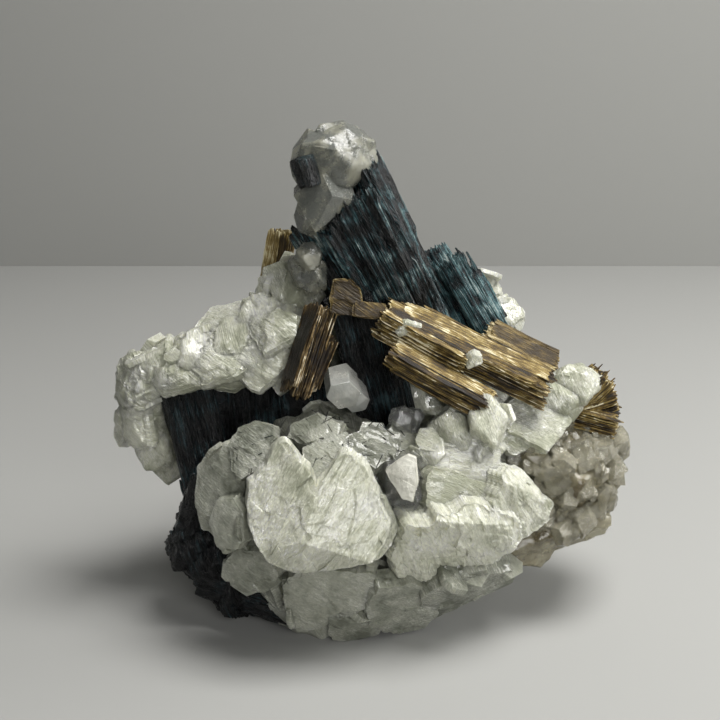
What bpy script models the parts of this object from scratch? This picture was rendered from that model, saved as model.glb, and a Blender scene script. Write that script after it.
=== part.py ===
"""A cluster of black tourmaline with albite blades, mica books and quartz.

Every crystal here is convex and flat faced, so every crystal is made the way a stonecutter would
make it: a cube primitive is sliced by the planes of the crystal's faces. Crystals of one mineral that
grew through each other are fused by a Boolean union into one node. Where two minerals meet, the softer
habit is cut back by the harder one, GAP wider, so that the two stand face to face.

Lengths are in millimetres up to the last step, which scales them to metres. +X is to the right and
+Y away from a viewer in front, +Z is up, and the origin is under the middle of the cluster, on the
surface that it rests on.
"""

import math
import random
from collections import namedtuple

import bmesh
import bpy
from mathutils import Matrix, Vector
from mathutils.geometry import convex_hull_2d

# Driving dimensions, in millimetres
WIDTH = 76.0
HEIGHT = 72.5
GAP = 0.3
TO_METRES = 0.001

# A corner nearer than this to a face's plane, in millimetres, lies in it.
TOUCH = 0.0001

COLLECTION = "Black tourmaline cluster"
HELPERS = "Helpers"

# A crystal: its centre, a length that reaches past its furthest corner, and the (normal, distance)
# of each face, measured from the centre.
Crystal = namedtuple("Crystal", "centre reach faces")


# Crystal habits

def turned(azimuth, elevation, spin=0.0):
    """The right, up and outward directions of a face. Azimuth 0 faces -Y and 90 faces +X."""
    a, e, s = (math.radians(x) for x in (azimuth, elevation, spin))
    out = Vector((math.sin(a) * math.cos(e), -math.cos(a) * math.cos(e), math.sin(e)))
    level = Vector((math.cos(a), math.sin(a), 0.0))
    upright = out.cross(level)
    right = level * math.cos(s) + upright * math.sin(s)
    return right, out.cross(right), out


def plate(centre, facing, sides, thick, bevel=0.0):
    """A tabular crystal. Sides holds the (angle, distance) of each side, seen from in front. A bevel,
    in degrees, gives every side two faces that meet in a sharp edge."""
    right, up, out = turned(*facing)
    faces = [(out, thick / 2), (-out, thick / 2)]
    tilt = math.radians(bevel)
    for angle, distance in sides:
        side = right * math.cos(math.radians(angle)) + up * math.sin(math.radians(angle))
        if not bevel:
            faces.append(((side + 0.14 * out).normalized(), distance))
            continue
        for way in (out, -out):
            normal = side * math.cos(tilt) + way * math.sin(tilt)
            faces.append((normal, (distance + 0.25 * thick * math.tan(tilt)) * math.cos(tilt)))
    return Crystal(Vector(centre), 3 * max(d for _, d in sides), faces)


def tablet(centre, facing, corners, thick, bevel=0.0):
    """A tabular crystal whose corners are given as seen from straight in front, as (x, z)."""
    centre = Vector(centre)
    right, up, out = turned(*facing)
    flat = []
    for x, z in corners:
        offset = Vector((x - centre.x, 0.0, z - centre.z))
        offset.y = -(offset.x * out.x + offset.z * out.z) / out.y
        flat.append(Vector((offset.dot(right), offset.dot(up))))
    hull = [flat[i] for i in convex_hull_2d(flat)]
    middle = sum(hull, Vector((0.0, 0.0))) / len(hull)
    sides = []
    for start, end in zip(hull, hull[1:] + hull[:1]):
        normal = Vector((end.y - start.y, start.x - end.x)).normalized()
        if normal.dot(start - middle) < 0:
            normal.negate()
        sides.append((math.degrees(math.atan2(normal.y, normal.x)), normal.dot(start - middle)))
    return plate(centre + right * middle.x + up * middle.y, (facing[0], facing[1]), sides, thick, bevel)


def oval_outline(across, along, sides, seed):
    """The sides of an uneven polygon about an oval of these half widths."""
    dice = random.Random(seed)
    outline = []
    for i in range(sides):
        angle = math.tau * (i + dice.uniform(-0.28, 0.28)) / sides
        radius = across * along / math.hypot(along * math.cos(angle), across * math.sin(angle))
        outline.append((math.degrees(angle), radius * dice.uniform(0.86, 1.04)))
    return outline


def blade(centre, facing, across, along, thick, seed, sides=6):
    """An albite blade: a plate with an uneven oval outline."""
    return plate(centre, facing, oval_outline(across, along, sides, seed), thick)


def lump(centre, radii, seed, faces=15):
    """A broken or crowded crystal: flat faces all round an ellipsoid, at uneven depths."""
    dice = random.Random(seed)
    turn = math.pi * (3 - math.sqrt(5))
    made = []
    for i in range(faces):
        height = 1 - 2 * (i + 0.5) / faces
        angle = turn * i + dice.uniform(-0.45, 0.45) + seed
        ring = math.sqrt(1 - height * height)
        normal = Vector((ring * math.cos(angle), ring * math.sin(angle), height))
        support = Vector([n * r for n, r in zip(normal, radii)]).length
        made.append((normal, support * dice.uniform(0.82, 1.0)))
    return Crystal(Vector(centre), 3 * max(radii), made)


def prism(foot, tip, radius, seed, sides=7, slant=0.25):
    """A tourmaline rod from foot to tip, with an uneven many-sided section and a broken end."""
    dice = random.Random(seed)
    foot, tip = Vector(foot), Vector(tip)
    along = (tip - foot).normalized()
    across = along.orthogonal().normalized()
    other = along.cross(across)
    half = (tip - foot).length / 2
    faces = []
    for i in range(sides):
        angle = math.tau * (i + dice.uniform(-0.25, 0.25)) / sides
        normal = across * math.cos(angle) + other * math.sin(angle)
        faces.append((normal, radius * dice.uniform(0.84, 1.0)))
    for end in (along, -along):
        lean = across * dice.uniform(-slant, slant) + other * dice.uniform(-slant, slant)
        faces.append(((end + lean).normalized(), half))
    return Crystal((foot + tip) / 2, half + 4 * radius, faces)


def rods(foot, tip, members, spread=1.0, seed=0):
    """Parallel rods fanned about one axis. Each member is (across, depth, radius, extra length)."""
    foot, tip = Vector(foot), Vector(tip)
    along = (tip - foot).normalized()
    across = Vector((along.z, 0.0, -along.x)).normalized()
    depth = Vector((0.0, 1.0, 0.0))
    made = []
    for i, (a, d, radius, extra) in enumerate(members):
        low = foot + (across * a + depth * d) * spread
        high = tip + across * a + depth * d + along * extra
        made.append(prism(low, high, radius, seed + i))
    return made


def book(start, end, stack, width, thick, sheets, seed, ragged=0.16):
    """A mica book: sheets piled along stack, each with its own length and width."""
    dice = random.Random(seed)
    start, end = Vector(start), Vector(end)
    along = (end - start).normalized()
    normal = (Vector(stack) - along * Vector(stack).dot(along)).normalized()
    side = along.cross(normal)
    length = (end - start).length
    step = thick / sheets
    made = []
    for i in range(sheets):
        low = (i - sheets / 2) * step
        centre = (start + end) / 2 + normal * (low + step / 2)
        reach_back, reach_on = (length / 2 * dice.uniform(1 - ragged, 1) for _ in range(2))
        half_left, half_right = (width / 2 * dice.uniform(1 - ragged, 1) for _ in range(2))
        skew = dice.uniform(-0.25, 0.25)
        faces = [
            (normal, 0.5 * step + 0.08 * step * (1 + i % 2)),
            (-normal, 0.5 * step + 0.05 * step * (1 + i % 3)),
            ((along + side * skew).normalized(), reach_on),
            ((-along + side * skew * 0.6).normalized(), reach_back),
            ((side + along * 0.04 * skew).normalized(), half_right),
            ((-side + normal * 0.1).normalized(), half_left),
        ]
        made.append(Crystal(centre, length + width, faces))
    return made


def quartz(foot, tip, radius, seed=0, point=0.9):
    """A six-sided quartz crystal from foot to its pointed tip. Point is the height of the tip's
    pyramid, in radii."""
    dice = random.Random(seed)
    foot, tip = Vector(foot), Vector(tip)
    along = (tip - foot).normalized()
    across = along.orthogonal().normalized()
    other = along.cross(across)
    centre = (foot + tip) / 2
    half = (tip - foot).length / 2
    faces = [(-along, half)]
    for i in range(6):
        angle = math.tau * (i + dice.uniform(-0.04, 0.04)) / 6 + seed
        side = across * math.cos(angle) + other * math.sin(angle)
        faces.append((side, radius * dice.uniform(0.86, 1.0)))
        slope = (side * point + along * dice.uniform(0.85, 1.25)).normalized()
        faces.append((slope, half * slope.dot(along) * dice.uniform(0.94, 1.0)))
    return Crystal(centre, half + 3 * radius, faces)


# The crystals of each node

def tourmaline_column():
    """The tall leaning column, a sheaf of rods that is wider at its top."""
    members = [
        (-7.6, -0.4, 2.4, 0.2), (-5.0, -2.6, 2.6, 0.2), (-4.6, 2.0, 2.9, 0.4), (-2.0, -3.6, 2.7, 0.4),
        (-1.8, 3.6, 2.9, 0.8), (1.2, -3.4, 2.8, 0.8), (1.2, 0.8, 3.4, 1.6), (1.8, 4.0, 2.8, 2.8),
        (4.2, -2.0, 2.4, 4.0), (4.6, 1.6, 2.4, 4.8), (-3.6, -5.0, 1.2, -1.6), (3.4, -4.4, 1.2, 1.4),
    ]
    return rods((9.4, 1.0, 40.0), (-1.4, 2.6, 61.0), members, spread=0.72, seed=11)


def tourmaline_rear():
    """The shorter broken column behind the tall one."""
    members = [(-2.0, 0.6, 2.6, 1.2), (0.9, 1.6, 2.7, 0.2), (2.5, -1.2, 2.3, -2.0), (4.2, 0.9, 1.8, -5.0)]
    return rods((21.4, 9.2, 33.0), (10.6, 12.0, 50.8), members, spread=0.95, seed=31)


def tourmaline_pocket():
    """The column that stands in the dark middle of the pocket."""
    members = [(-1.9, 0.0, 2.2, 0.0), (1.4, -0.8, 2.3, 1.0), (0.0, 2.4, 2.6, 0.4), (3.4, 1.6, 1.7, -2.4)]
    return rods((4.8, -1.6, 25.0), (-0.9, -1.0, 47.6), members, seed=41)


def tourmaline_left():
    """The sheaf that stands in the cavity under the albite wing."""
    members = [(-3.0, -1.0, 1.9, -0.4), (-0.9, -2.3, 1.7, 0.3), (1.4, -1.0, 2.0, 1.0), (0.0, 1.5, 2.7, 0.6)]
    return rods((-21.4, -3.8, 16.4), (-25.8, -1.6, 35.6), members, seed=51)


def tourmaline_inner():
    """The rods that close the back of the cavity."""
    members = [
        (-6.8, 1.0, 2.7, -0.6), (-2.8, 0.4, 2.8, 0.0), (1.2, 0.2, 3.0, 0.6), (5.2, 0.7, 2.6, -0.6),
        (8.6, -0.6, 2.8, 0.4),
    ]
    return rods((-15.0, 1.4, 20.0), (-16.0, 0.8, 38.0), members, seed=61)


def tourmaline_foot():
    """The rough crystals that curve down the lower left side to the ground."""
    return [
        prism((-26.9, -7.6, 9.8), (-23.0, -6.8, 21.6), 2.5, 71),
        prism((-24.4, -5.6, 9.0), (-21.2, -5.4, 21.0), 2.3, 72),
        lump((-25.6, -7.6, 11.4), (3.6, 3.8, 3.6), 73, faces=13),
        lump((-21.8, -7.8, 7.8), (4.4, 4.2, 3.9), 74, faces=13),
        prism((-23.2, -8.4, 6.4), (-10.6, -11.4, 3.3), 3.3, 75, sides=8),
        lump((-18.6, -9.2, 4.6), (4.4, 4.0, 4.0), 76, faces=13),
    ]


def tourmaline_chip():
    """The black splinters caught in the side of the cap."""
    return [
        prism((-6.5, -3.4, 64.9), (-7.8, -3.3, 68.9), 1.25, 81, sides=6, slant=0.1),
        prism((-7.6, -1.6, 64.5), (-9.0, -1.0, 68.4), 1.15, 82, sides=6, slant=0.1),
    ]


def tourmaline_back():
    """A sheaf that shows on the back of the cluster."""
    members = [(-2.4, 0.0, 2.3, -1.0), (0.6, 0.9, 2.7, 0.8), (3.2, -0.3, 2.1, -2.2), (1.2, 2.9, 1.6, -3.4)]
    return rods((1.0, 15.5, 20.0), (-6.0, 22.0, 42.0), members, seed=91)


def mica_upper():
    """The long book that lies across the foot of the tall column."""
    stack = (0.40, -0.30, 0.86)
    return [
        *book((4.2, -5.6, 46.6), (27.8, -7.2, 35.4), stack, 7.0, 3.8, 5, 101, ragged=0.2),
        *book((2.8, -6.4, 46.6), (15.4, -8.6, 40.0), stack, 5.4, 4.4, 4, 107, ragged=0.14),
    ]


def mica_lower():
    """The split book under the upper one, whose edges face the front."""
    stack = (0.42, -0.34, 0.84)
    return book((4.0, -10.6, 42.3), (18.6, -13.2, 34.9), stack, 4.6, 3.2, 5, 111, ragged=0.2)


def mica_rear():
    """The short dark book at the right end."""
    stack = (0.40, -0.42, 0.82)
    return book((19.0, 2.8, 41.6), (29.8, 1.0, 36.6), stack, 5.4, 2.4, 4, 121, ragged=0.12)


def mica_flake():
    """The golden flake that stands against the column."""
    first = [(0, 2.2), (48, 2.5), (96, 2.9), (176, 2.2), (212, 3.0), (266, 2.4), (318, 2.6)]
    second = [(8, 2.2), (88, 1.3), (176, 2.6), (268, 1.2), (318, 1.7)]
    return [
        plate((-2.0, -7.2, 49.4), (-8, 8), first, 1.2),
        plate((1.4, -7.4, 47.6), (14, 16, -8), second, 1.5),
    ]


def mica_left():
    """The dark book that hangs down beside the albite wing."""
    stack = (-0.86, -0.50, 0.05)
    return [
        *book((-5.4, -5.6, 48.0), (-9.6, -9.6, 35.4), stack, 4.6, 3.4, 4, 131, ragged=0.18),
        *book((-3.9, -6.6, 43.6), (-7.2, -9.6, 36.4), (-0.7, -0.7, 0.1), 2.4, 1.2, 2, 137),
    ]


def mica_fan():
    """The sheaf of sheets that fans open on the far right."""
    made = []
    for i, lean in enumerate((-14, 16, 48)):
        reach = math.radians(lean)
        hinge = Vector((31.8, 0.6, 30.2))
        along = Vector((math.cos(reach), 0.12 * math.sin(5 * reach), math.sin(reach)))
        stack = (-math.sin(reach), -0.25, math.cos(reach))
        tip = hinge + along * (7.6 - 0.5 * (i % 2))
        made += book(hinge, tip, stack, 6.2 - 0.6 * i, 3.2, 2, 141 + i, ragged=0.1)
    return made


def mica_back():
    """The tan blade that stands up behind the wing."""
    stack = (-0.45, -0.88, 0.1)
    return book((-14.2, 11.6, 42.4), (-12.0, 13.2, 55.2), stack, 4.4, 2.2, 3, 151, ragged=0.12)


def quartz_cap():
    """The glassy cap that grew over the top of the column."""
    return [
        lump((-3.4, 2.0, 67.8), (5.2, 5.0, 5.1), 161, faces=17),
        lump((-5.9, 0.8, 67.6), (3.8, 4.0, 3.9), 162, faces=12),
        lump((-1.9, 3.2, 69.4), (4.2, 4.0, 2.9), 163, faces=12),
        lump((-4.9, -0.8, 63.0), (4.0, 3.8, 3.5), 164, faces=12),
        lump((-6.5, -0.6, 60.4), (2.6, 3.2, 3.4), 165, faces=12),
        lump((-1.6, -1.6, 63.2), (3.0, 2.6, 2.6), 166, faces=12),
    ]


def quartz_side():
    """The small glassy grains on the left flank of the column."""
    return [
        lump((-7.4, -2.2, 54.2), (1.9, 2.2, 2.3), 171, faces=12),
        lump((-6.7, -2.4, 51.2), (1.8, 2.0, 2.6), 172, faces=12),
        lump((-8.2, -0.8, 51.8), (1.8, 2.2, 2.9), 173, faces=12),
    ]


def quartz_hexagonal():
    """The two small milky crystals in the pocket, seen end on."""
    return [
        quartz((-2.8, -3.6, 36.6), (-2.2, -9.4, 35.2), 2.35, seed=1, point=0.35),
        quartz((-1.0, -3.4, 34.8), (-0.3, -8.0, 33.4), 1.7, seed=2, point=0.4),
    ]


def quartz_pocket():
    """The water-clear crystal at the front of the pocket."""
    return [
        quartz((6.3, -9.6, 29.8), (5.7, -12.2, 34.4), 1.9, seed=3, point=0.8),
        quartz((7.4, -8.8, 30.6), (8.3, -10.6, 33.8), 1.3, seed=4, point=0.8),
    ]


def quartz_front():
    """The clear crystal that stands between the front blades."""
    return [
        quartz((7.6, -15.0, 23.4), (4.4, -20.6, 28.4), 3.3, seed=5, point=1.1),
        lump((6.6, -17.6, 22.9), (3.2, 2.8, 2.8), 181, faces=12),
    ]


def quartz_smoky():
    """The smoky mass on the right, with its crust of small crystals."""
    mass = [
        lump((30.2, -0.2, 20.6), (8.2, 9.4, 7.8), 191, faces=17),
        lump((27.4, -3.4, 14.6), (10.2, 8.2, 4.9), 192, faces=15),
        lump((35.2, 1.4, 21.6), (4.8, 6.6, 5.6), 193, faces=13),
        lump((34.2, 1.0, 14.4), (4.8, 6.2, 4.6), 194, faces=13),
        lump((34.6, 4.4, 26.2), (4.4, 5.2, 3.8), 195, faces=13),
        lump((22.0, -5.2, 11.6), (8.4, 6.2, 4.0), 196, faces=13),
    ]
    crust = [
        (24.6, -9.0, 26.0, 2.2), (28.6, -9.4, 24.6, 1.9), (31.4, -9.2, 21.0, 2.2), (35.4, -5.2, 24.2, 2.8),
        (37.4, -2.0, 19.2, 2.2), (34.8, -6.4, 17.6, 2.3), (38.0, 1.6, 24.0, 2.3), (27.6, -9.6, 20.4, 1.9),
        (35.6, 9.0, 22.0, 2.6), (30.6, 9.8, 19.0, 2.6), (27.6, 9.6, 24.6, 2.3),
    ]
    points = []
    for i, (x, y, z, radius) in enumerate(crust):
        tip = Vector((x, y, z))
        foot = Vector((30.5, 0.8, 20.5))
        inward = (foot - tip).normalized()
        start = tip + inward * 3.2 * radius
        points.append(quartz(start, tip - inward * 0.4 * radius, radius, seed=i, point=0.8))
    return mass + points


def albite_front():
    """The rosette of blades that faces the viewer: a thick blade with two lobes, and those around it."""
    body = [
        (-15.6, 25.0), (-15.6, 22.0), (-14.5, 19.2), (-12.8, 16.2), (-8.8, 14.4), (1.6, 16.2), (3.6, 18.8),
        (4.4, 21.4), (3.6, 24.0), (0.5, 27.4), (-13.2, 28.6),
    ]
    left_lobe = [
        (-15.4, 24.9), (-15.6, 26.8), (-13.4, 28.8), (-12.0, 31.5), (-10.8, 32.6), (-9.8, 32.4), (-8.3, 30.2),
        (-6.4, 28.7), (-6.3, 27.1), (-8.2, 20.2), (-12.7, 19.4), (-14.2, 22.2),
    ]
    right_lobe = [
        (-6.0, 27.5), (-4.8, 28.0), (-2.7, 31.1), (-1.2, 31.2), (0.8, 29.3), (2.3, 26.2), (4.4, 20.9),
        (3.3, 18.1), (0.8, 16.3), (-4.1, 15.6), (-7.4, 16.8), (-7.9, 22.2),
    ]
    third = [(0.0, 25.7), (2.8, 25.0), (4.2, 22.0), (4.8, 20.0), (3.7, 17.4), (1.7, 15.8), (-1.1, 16.6)]
    return [
        tablet((-5.5, -22.2, 20.8), (0, 10), body, 5.2, bevel=38),
        tablet((-10.5, -22.5, 24.3), (-6, 14), left_lobe, 3.4),
        tablet((-1.4, -22.4, 22.0), (4, 14), right_lobe, 3.6),
        tablet((2.5, -20.8, 20.7), (26, 10), third, 3.2),
        tablet((-19.6, -14.6, 23.4), (-26, 12), [
            (-22.4, 26.8), (-19.6, 29.7), (-16.9, 30.6), (-15.0, 28.0), (-16.1, 19.0), (-19.7, 16.3),
            (-22.1, 17.6), (-23.1, 22.1),
        ], 3.4),
        tablet((-14.9, -15.6, 29.1), (-14, 30), [
            (-18.3, 29.5), (-16.9, 32.0), (-14.4, 33.0), (-11.6, 32.6), (-12.0, 28.0), (-16.3, 25.4),
            (-17.7, 26.5),
        ], 3.2),
        tablet((-17.9, -18.6, 19.9), (-26, 6), [
            (-20.9, 19.9), (-19.6, 23.1), (-17.0, 24.0), (-15.4, 22.0), (-15.3, 18.0), (-16.8, 16.3),
            (-19.5, 16.1),
        ], 3.0),
        tablet((-14.9, -17.6, 12.7), (-18, -12), [
            (-19.3, 13.0), (-17.0, 16.4), (-13.0, 16.6), (-10.8, 12.6), (-12.4, 9.6), (-15.8, 8.6),
            (-18.3, 9.6),
        ], 3.0),
        blade((-3.4, -16.4, 27.8), (-4, 44), 5.0, 3.6, 3.0, 208),
        blade((-5.8, -12.4, 30.6), (-20, 50), 4.2, 3.0, 2.6, 209),
        blade((1.6, -14.8, 29.6), (14, 46), 4.2, 3.0, 2.8, 210),
        blade((5.2, -13.2, 28.2), (30, 40), 3.6, 3.4, 3.0, 211),
    ]


def albite_foot():
    """The blades that hang below the rosette, near the ground."""
    return [
        tablet((-5.0, -17.6, 8.2), (-6, -12), [
            (-11.1, 10.3), (-10.8, 6.9), (-10.4, 4.6), (-9.0, 2.2), (-7.6, 2.2), (-1.4, 6.2), (1.6, 7.6),
            (2.5, 13.5), (-8.5, 14.0),
        ], 3.6),
        blade((-9.8, -13.6, 3.4), (-30, -24), 3.8, 3.0, 3.2, 221),
        blade((-1.2, -16.2, 3.6), (8, -24), 4.4, 3.6, 3.2, 222),
        tablet((5.8, -16.6, 6.7), (18, -28), [
            (0.0, 8.0), (1.0, 3.4), (5.2, 0.8), (9.0, 1.4), (11.2, 3.8), (11.0, 9.0), (7.1, 12.4), (2.0, 12.0),
        ], 3.2),
        tablet((13.9, -13.4, 6.9), (26, -38), [
            (8.6, 3.4), (11.3, 2.8), (17.2, 6.2), (22.4, 7.9), (21.6, 11.6), (12.7, 13.0), (8.0, 10.2),
        ], 3.4),
        blade((-13.6, -12.4, 8.2), (-56, -20), 4.2, 4.6, 3.4, 227),
    ]


def albite_right():
    """The heavy ribbed blades on the right of the rosette, and the knobs above them."""
    return [
        tablet((12.3, -18.6, 17.0), (12, -4), [
            (3.9, 15.2), (4.3, 18.7), (5.1, 21.0), (9.0, 22.9), (12.5, 24.0), (17.4, 23.1), (22.6, 19.9),
            (23.3, 16.4), (19.4, 13.0), (10.8, 10.6), (7.9, 10.2), (5.4, 11.9),
        ], 4.6, bevel=30),
        tablet((21.6, -15.0, 20.5), (34, 8), [
            (17.0, 22.9), (18.0, 26.2), (20.1, 27.0), (23.4, 25.7), (25.3, 22.5), (27.2, 20.2), (26.6, 17.5),
            (24.0, 15.9), (18.6, 15.6),
        ], 4.2, bevel=25),
        tablet((12.6, -17.2, 23.9), (16, 14), [
            (8.8, 21.0), (8.6, 26.0), (9.6, 27.9), (12.8, 27.0), (18.2, 24.3), (20.0, 21.8), (15.5, 19.0),
        ], 3.4),
        tablet((15.6, -13.6, 26.8), (8, 16), [
            (10.2, 30.0), (18.4, 30.6), (19.8, 27.8), (20.3, 23.6), (17.0, 21.0), (12.0, 23.0), (9.6, 26.0),
        ], 4.6),
        lump((13.2, -12.4, 30.8), (3.5, 3.4, 3.4), 233, faces=12),
        lump((17.9, -13.0, 32.4), (2.8, 3.0, 4.4), 234, faces=12),
        lump((10.0, -13.6, 28.8), (2.8, 2.8, 3.0), 235, faces=12),
        lump((16.8, -12.2, 28.4), (3.8, 3.6, 3.6), 236, faces=12),
        lump((28.4, -2.4, 32.8), (4.8, 4.4, 3.4), 238, faces=13),
        lump((32.2, -1.2, 34.6), (3.9, 3.8, 2.8), 239, faces=13),
        blade((25.4, -6.4, 30.8), (22, 36), 6.2, 4.4, 2.8, 240),
        blade((22.4, -7.6, 30.0), (10, 22), 3.6, 4.2, 2.8, 241),
    ]


def albite_wing():
    """The arm that arches over the cavity on the left."""
    return [
        lump((-12.8, 1.4, 41.8), (5.4, 6.2, 5.8), 251, faces=14),
        lump((-9.4, 4.8, 47.6), (3.2, 4.4, 6.0), 252, faces=13),
        lump((-17.8, 0.6, 40.0), (5.2, 6.2, 4.6), 253, faces=13),
        lump((-23.2, 0.8, 39.0), (5.4, 6.2, 4.2), 254, faces=13),
        lump((-29.0, -0.4, 36.8), (4.8, 5.6, 4.0), 255, faces=13),
        lump((-32.8, -0.2, 34.4), (3.4, 4.8, 5.0), 256, faces=13),
        lump((-33.2, 0.4, 28.6), (3.0, 4.4, 5.2), 257, faces=13),
        lump((-31.4, 1.6, 23.8), (3.0, 4.2, 3.9), 258, faces=13),
        blade((-15.0, -3.6, 39.2), (-10, 18), 5.2, 3.8, 2.8, 259),
        blade((-21.6, -3.6, 38.6), (-6, 30), 5.2, 3.2, 2.8, 260),
        blade((-27.4, -3.6, 36.8), (-16, 26), 4.4, 3.2, 2.8, 261),
        blade((-18.8, 1.6, 42.8), (-10, 62), 5.2, 4.6, 2.6, 262),
        blade((-12.4, -3.8, 43.4), (-20, 40), 3.8, 3.4, 2.2, 263),
        blade((-33.6, -1.6, 35.0), (-54, 16), 3.6, 4.4, 2.8, 264),
        blade((-33.2, -2.4, 29.6), (-40, 4), 2.9, 4.6, 2.6, 265),
        blade((-18.0, -2.0, 34.8), (-4, -30), 3.2, 2.6, 2.2, 266),
        blade((-11.4, -2.8, 37.4), (-10, 0), 3.0, 3.0, 3.2, 267),
    ]


def albite_back():
    """The blades and knobs on the side away from the viewer."""
    blades = [
        ((-24.0, 9.0, 33.0), (214, 18), 5.6, 6.0), ((-15.5, 15.0, 31.0), (196, 24), 6.2, 5.4),
        ((-6.0, 20.0, 14.0), (188, -4), 6.6, 6.6), ((8.0, 25.0, 24.0), (176, 14), 7.0, 6.2),
        ((17.5, 21.0, 30.0), (158, 30), 6.0, 5.4), ((24.0, 14.0, 33.0), (138, 34), 5.4, 5.0),
        ((22.0, 19.0, 15.0), (146, -6), 6.6, 6.0), ((-17.5, 14.0, 20.0), (214, 4), 5.8, 6.6),
        ((10.0, 23.0, 12.0), (170, -16), 6.6, 5.8), ((-23.5, 5.5, 24.0), (236, -2), 5.0, 6.2),
        ((-13.0, 13.5, 8.5), (212, -22), 6.2, 5.2), ((2.5, 19.5, 37.0), (188, 44), 5.4, 4.8),
    ]
    made = [
        blade(centre, facing, across, along, 3.0, 271 + i)
        for i, (centre, facing, across, along) in enumerate(blades)
    ]
    return made + [
        lump((18.8, 16.2, 42.6), (4.0, 3.6, 4.6), 291, faces=13),
        lump((22.2, 13.2, 40.0), (3.6, 3.4, 3.8), 292, faces=13),
        lump((-12.6, 8.8, 45.0), (4.0, 4.2, 4.0), 293, faces=13),
    ]


def albite_heart():
    """The solid albite that all the blades grow from."""
    return [
        lump((-3.0, -2.0, 15.0), (14.5, 14.0, 15.5), 301, faces=16),
        lump((6.0, 10.0, 22.0), (17.0, 13.0, 17.0), 302, faces=18),
        lump((14.0, -3.0, 18.6), (9.5, 11.0, 11.0), 303),
        lump((-12.0, 9.0, 33.0), (11.0, 7.5, 9.0), 304),
        lump((-21.5, 6.6, 29.0), (9.5, 5.4, 10.5), 305),
        lump((-12.0, 6.0, 12.0), (9.5, 9.5, 11.0), 306),
        lump((18.0, 7.0, 32.4), (9.5, 7.5, 8.0), 307),
        lump((-6.0, -7.0, 4.0), (9.5, 8.5, 6.5), 308, faces=13),
        lump((8.0, -3.0, 5.0), (10.5, 9.5, 7.5), 309, faces=13),
        lump((4.0, 10.0, 5.0), (12.5, 9.5, 8.0), 310, faces=13),
        lump((2.0, 7.4, 40.0), (9.0, 5.6, 6.0), 311, faces=13),
    ]


def albite():
    """All the albite, which is one growth."""
    return [
        *albite_heart(), *albite_front(), *albite_foot(), *albite_right(), *albite_wing(), *albite_back(),
    ]


# Nodes in the order in which they cut: each one is cut back by those above it that it meets.
TOURMALINE, MICA, CLEAR, SMOKY, ALBITE = "tourmaline", "mica", "clear_quartz", "smoky_quartz", "albite"
NODES = [
    (tourmaline_column, TOURMALINE), (tourmaline_rear, TOURMALINE), (tourmaline_pocket, TOURMALINE),
    (tourmaline_left, TOURMALINE), (tourmaline_inner, TOURMALINE), (tourmaline_foot, TOURMALINE),
    (tourmaline_chip, TOURMALINE), (tourmaline_back, TOURMALINE),
    (mica_upper, MICA), (mica_lower, MICA), (mica_rear, MICA), (mica_flake, MICA), (mica_left, MICA),
    (mica_fan, MICA), (mica_back, MICA),
    (quartz_cap, CLEAR), (quartz_side, CLEAR), (quartz_hexagonal, CLEAR), (quartz_pocket, CLEAR),
    (quartz_front, CLEAR), (quartz_smoky, SMOKY),
    (albite, ALBITE),
]

# Colour, roughness and metallic value of each mineral
FINISHES = {
    TOURMALINE: ((0.012, 0.030, 0.036), 0.38, 0.0),
    MICA: ((0.30, 0.21, 0.09), 0.42, 0.0),
    CLEAR: ((0.62, 0.62, 0.58), 0.12, 0.0),
    SMOKY: ((0.42, 0.36, 0.30), 0.25, 0.0),
    ALBITE: ((0.70, 0.71, 0.66), 0.45, 0.0),
}


# Making solids

def clear_scene():
    for obj in list(bpy.data.objects):
        bpy.data.objects.remove(obj)


def new_collection(name, shown):
    collection = bpy.data.collections.new(name)
    collection.hide_render = not shown
    bpy.context.scene.collection.children.link(collection)
    return collection


def finish(name):
    """The Principled material of one mineral."""
    colour, roughness, metallic = FINISHES[name]
    material = bpy.data.materials.get(name) or bpy.data.materials.new(name)
    material.use_nodes = True
    shader = material.node_tree.nodes["Principled BSDF"]
    shader.inputs["Base Color"].default_value = (*colour, 1.0)
    shader.inputs["Roughness"].default_value = roughness
    shader.inputs["Metallic"].default_value = metallic
    return material


def slice_by(bm, point, normal):
    """Cuts away what lies beyond a plane and closes the cut with one flat face."""
    whole = bm.verts[:] + bm.edges[:] + bm.faces[:]
    cut = bmesh.ops.bisect_plane(
        bm, geom=whole, dist=TOUCH, plane_co=point, plane_no=normal, clear_outer=True
    )
    rim = [e for e in cut["geom_cut"] if isinstance(e, bmesh.types.BMEdge) and e.is_boundary]
    if rim:
        bmesh.ops.contextual_create(bm, geom=rim)


def sliced(name, crystal, grow, collection):
    """One crystal as an object: a cube primitive sliced by the crystal's faces, each moved out by
    grow."""
    bm = bmesh.new()
    bmesh.ops.create_cube(bm, size=2 * crystal.reach, matrix=Matrix.Translation(crystal.centre))
    for normal, distance in crystal.faces:
        slice_by(bm, crystal.centre + normal * (distance + grow), normal)
    bmesh.ops.recalc_face_normals(bm, faces=bm.faces[:])
    mesh = bpy.data.meshes.new(name)
    bm.to_mesh(mesh)
    bm.free()
    obj = bpy.data.objects.new(name, mesh)
    obj.hide_render = True
    obj.display_type = "WIRE"
    collection.objects.link(obj)
    return obj


def span(crystals):
    """The lowest and highest corner of the crystals' boxes, from their face distances."""
    low = [min(c.centre[i] - max(d for _, d in c.faces) for c in crystals) for i in range(3)]
    high = [max(c.centre[i] + max(d for _, d in c.faces) for c in crystals) for i in range(3)]
    return low, high


def near(first, second):
    (low_a, high_a), (low_b, high_b) = span(first), span(second)
    return all(low_a[i] < high_b[i] + GAP and low_b[i] < high_a[i] + GAP for i in range(3))


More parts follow.
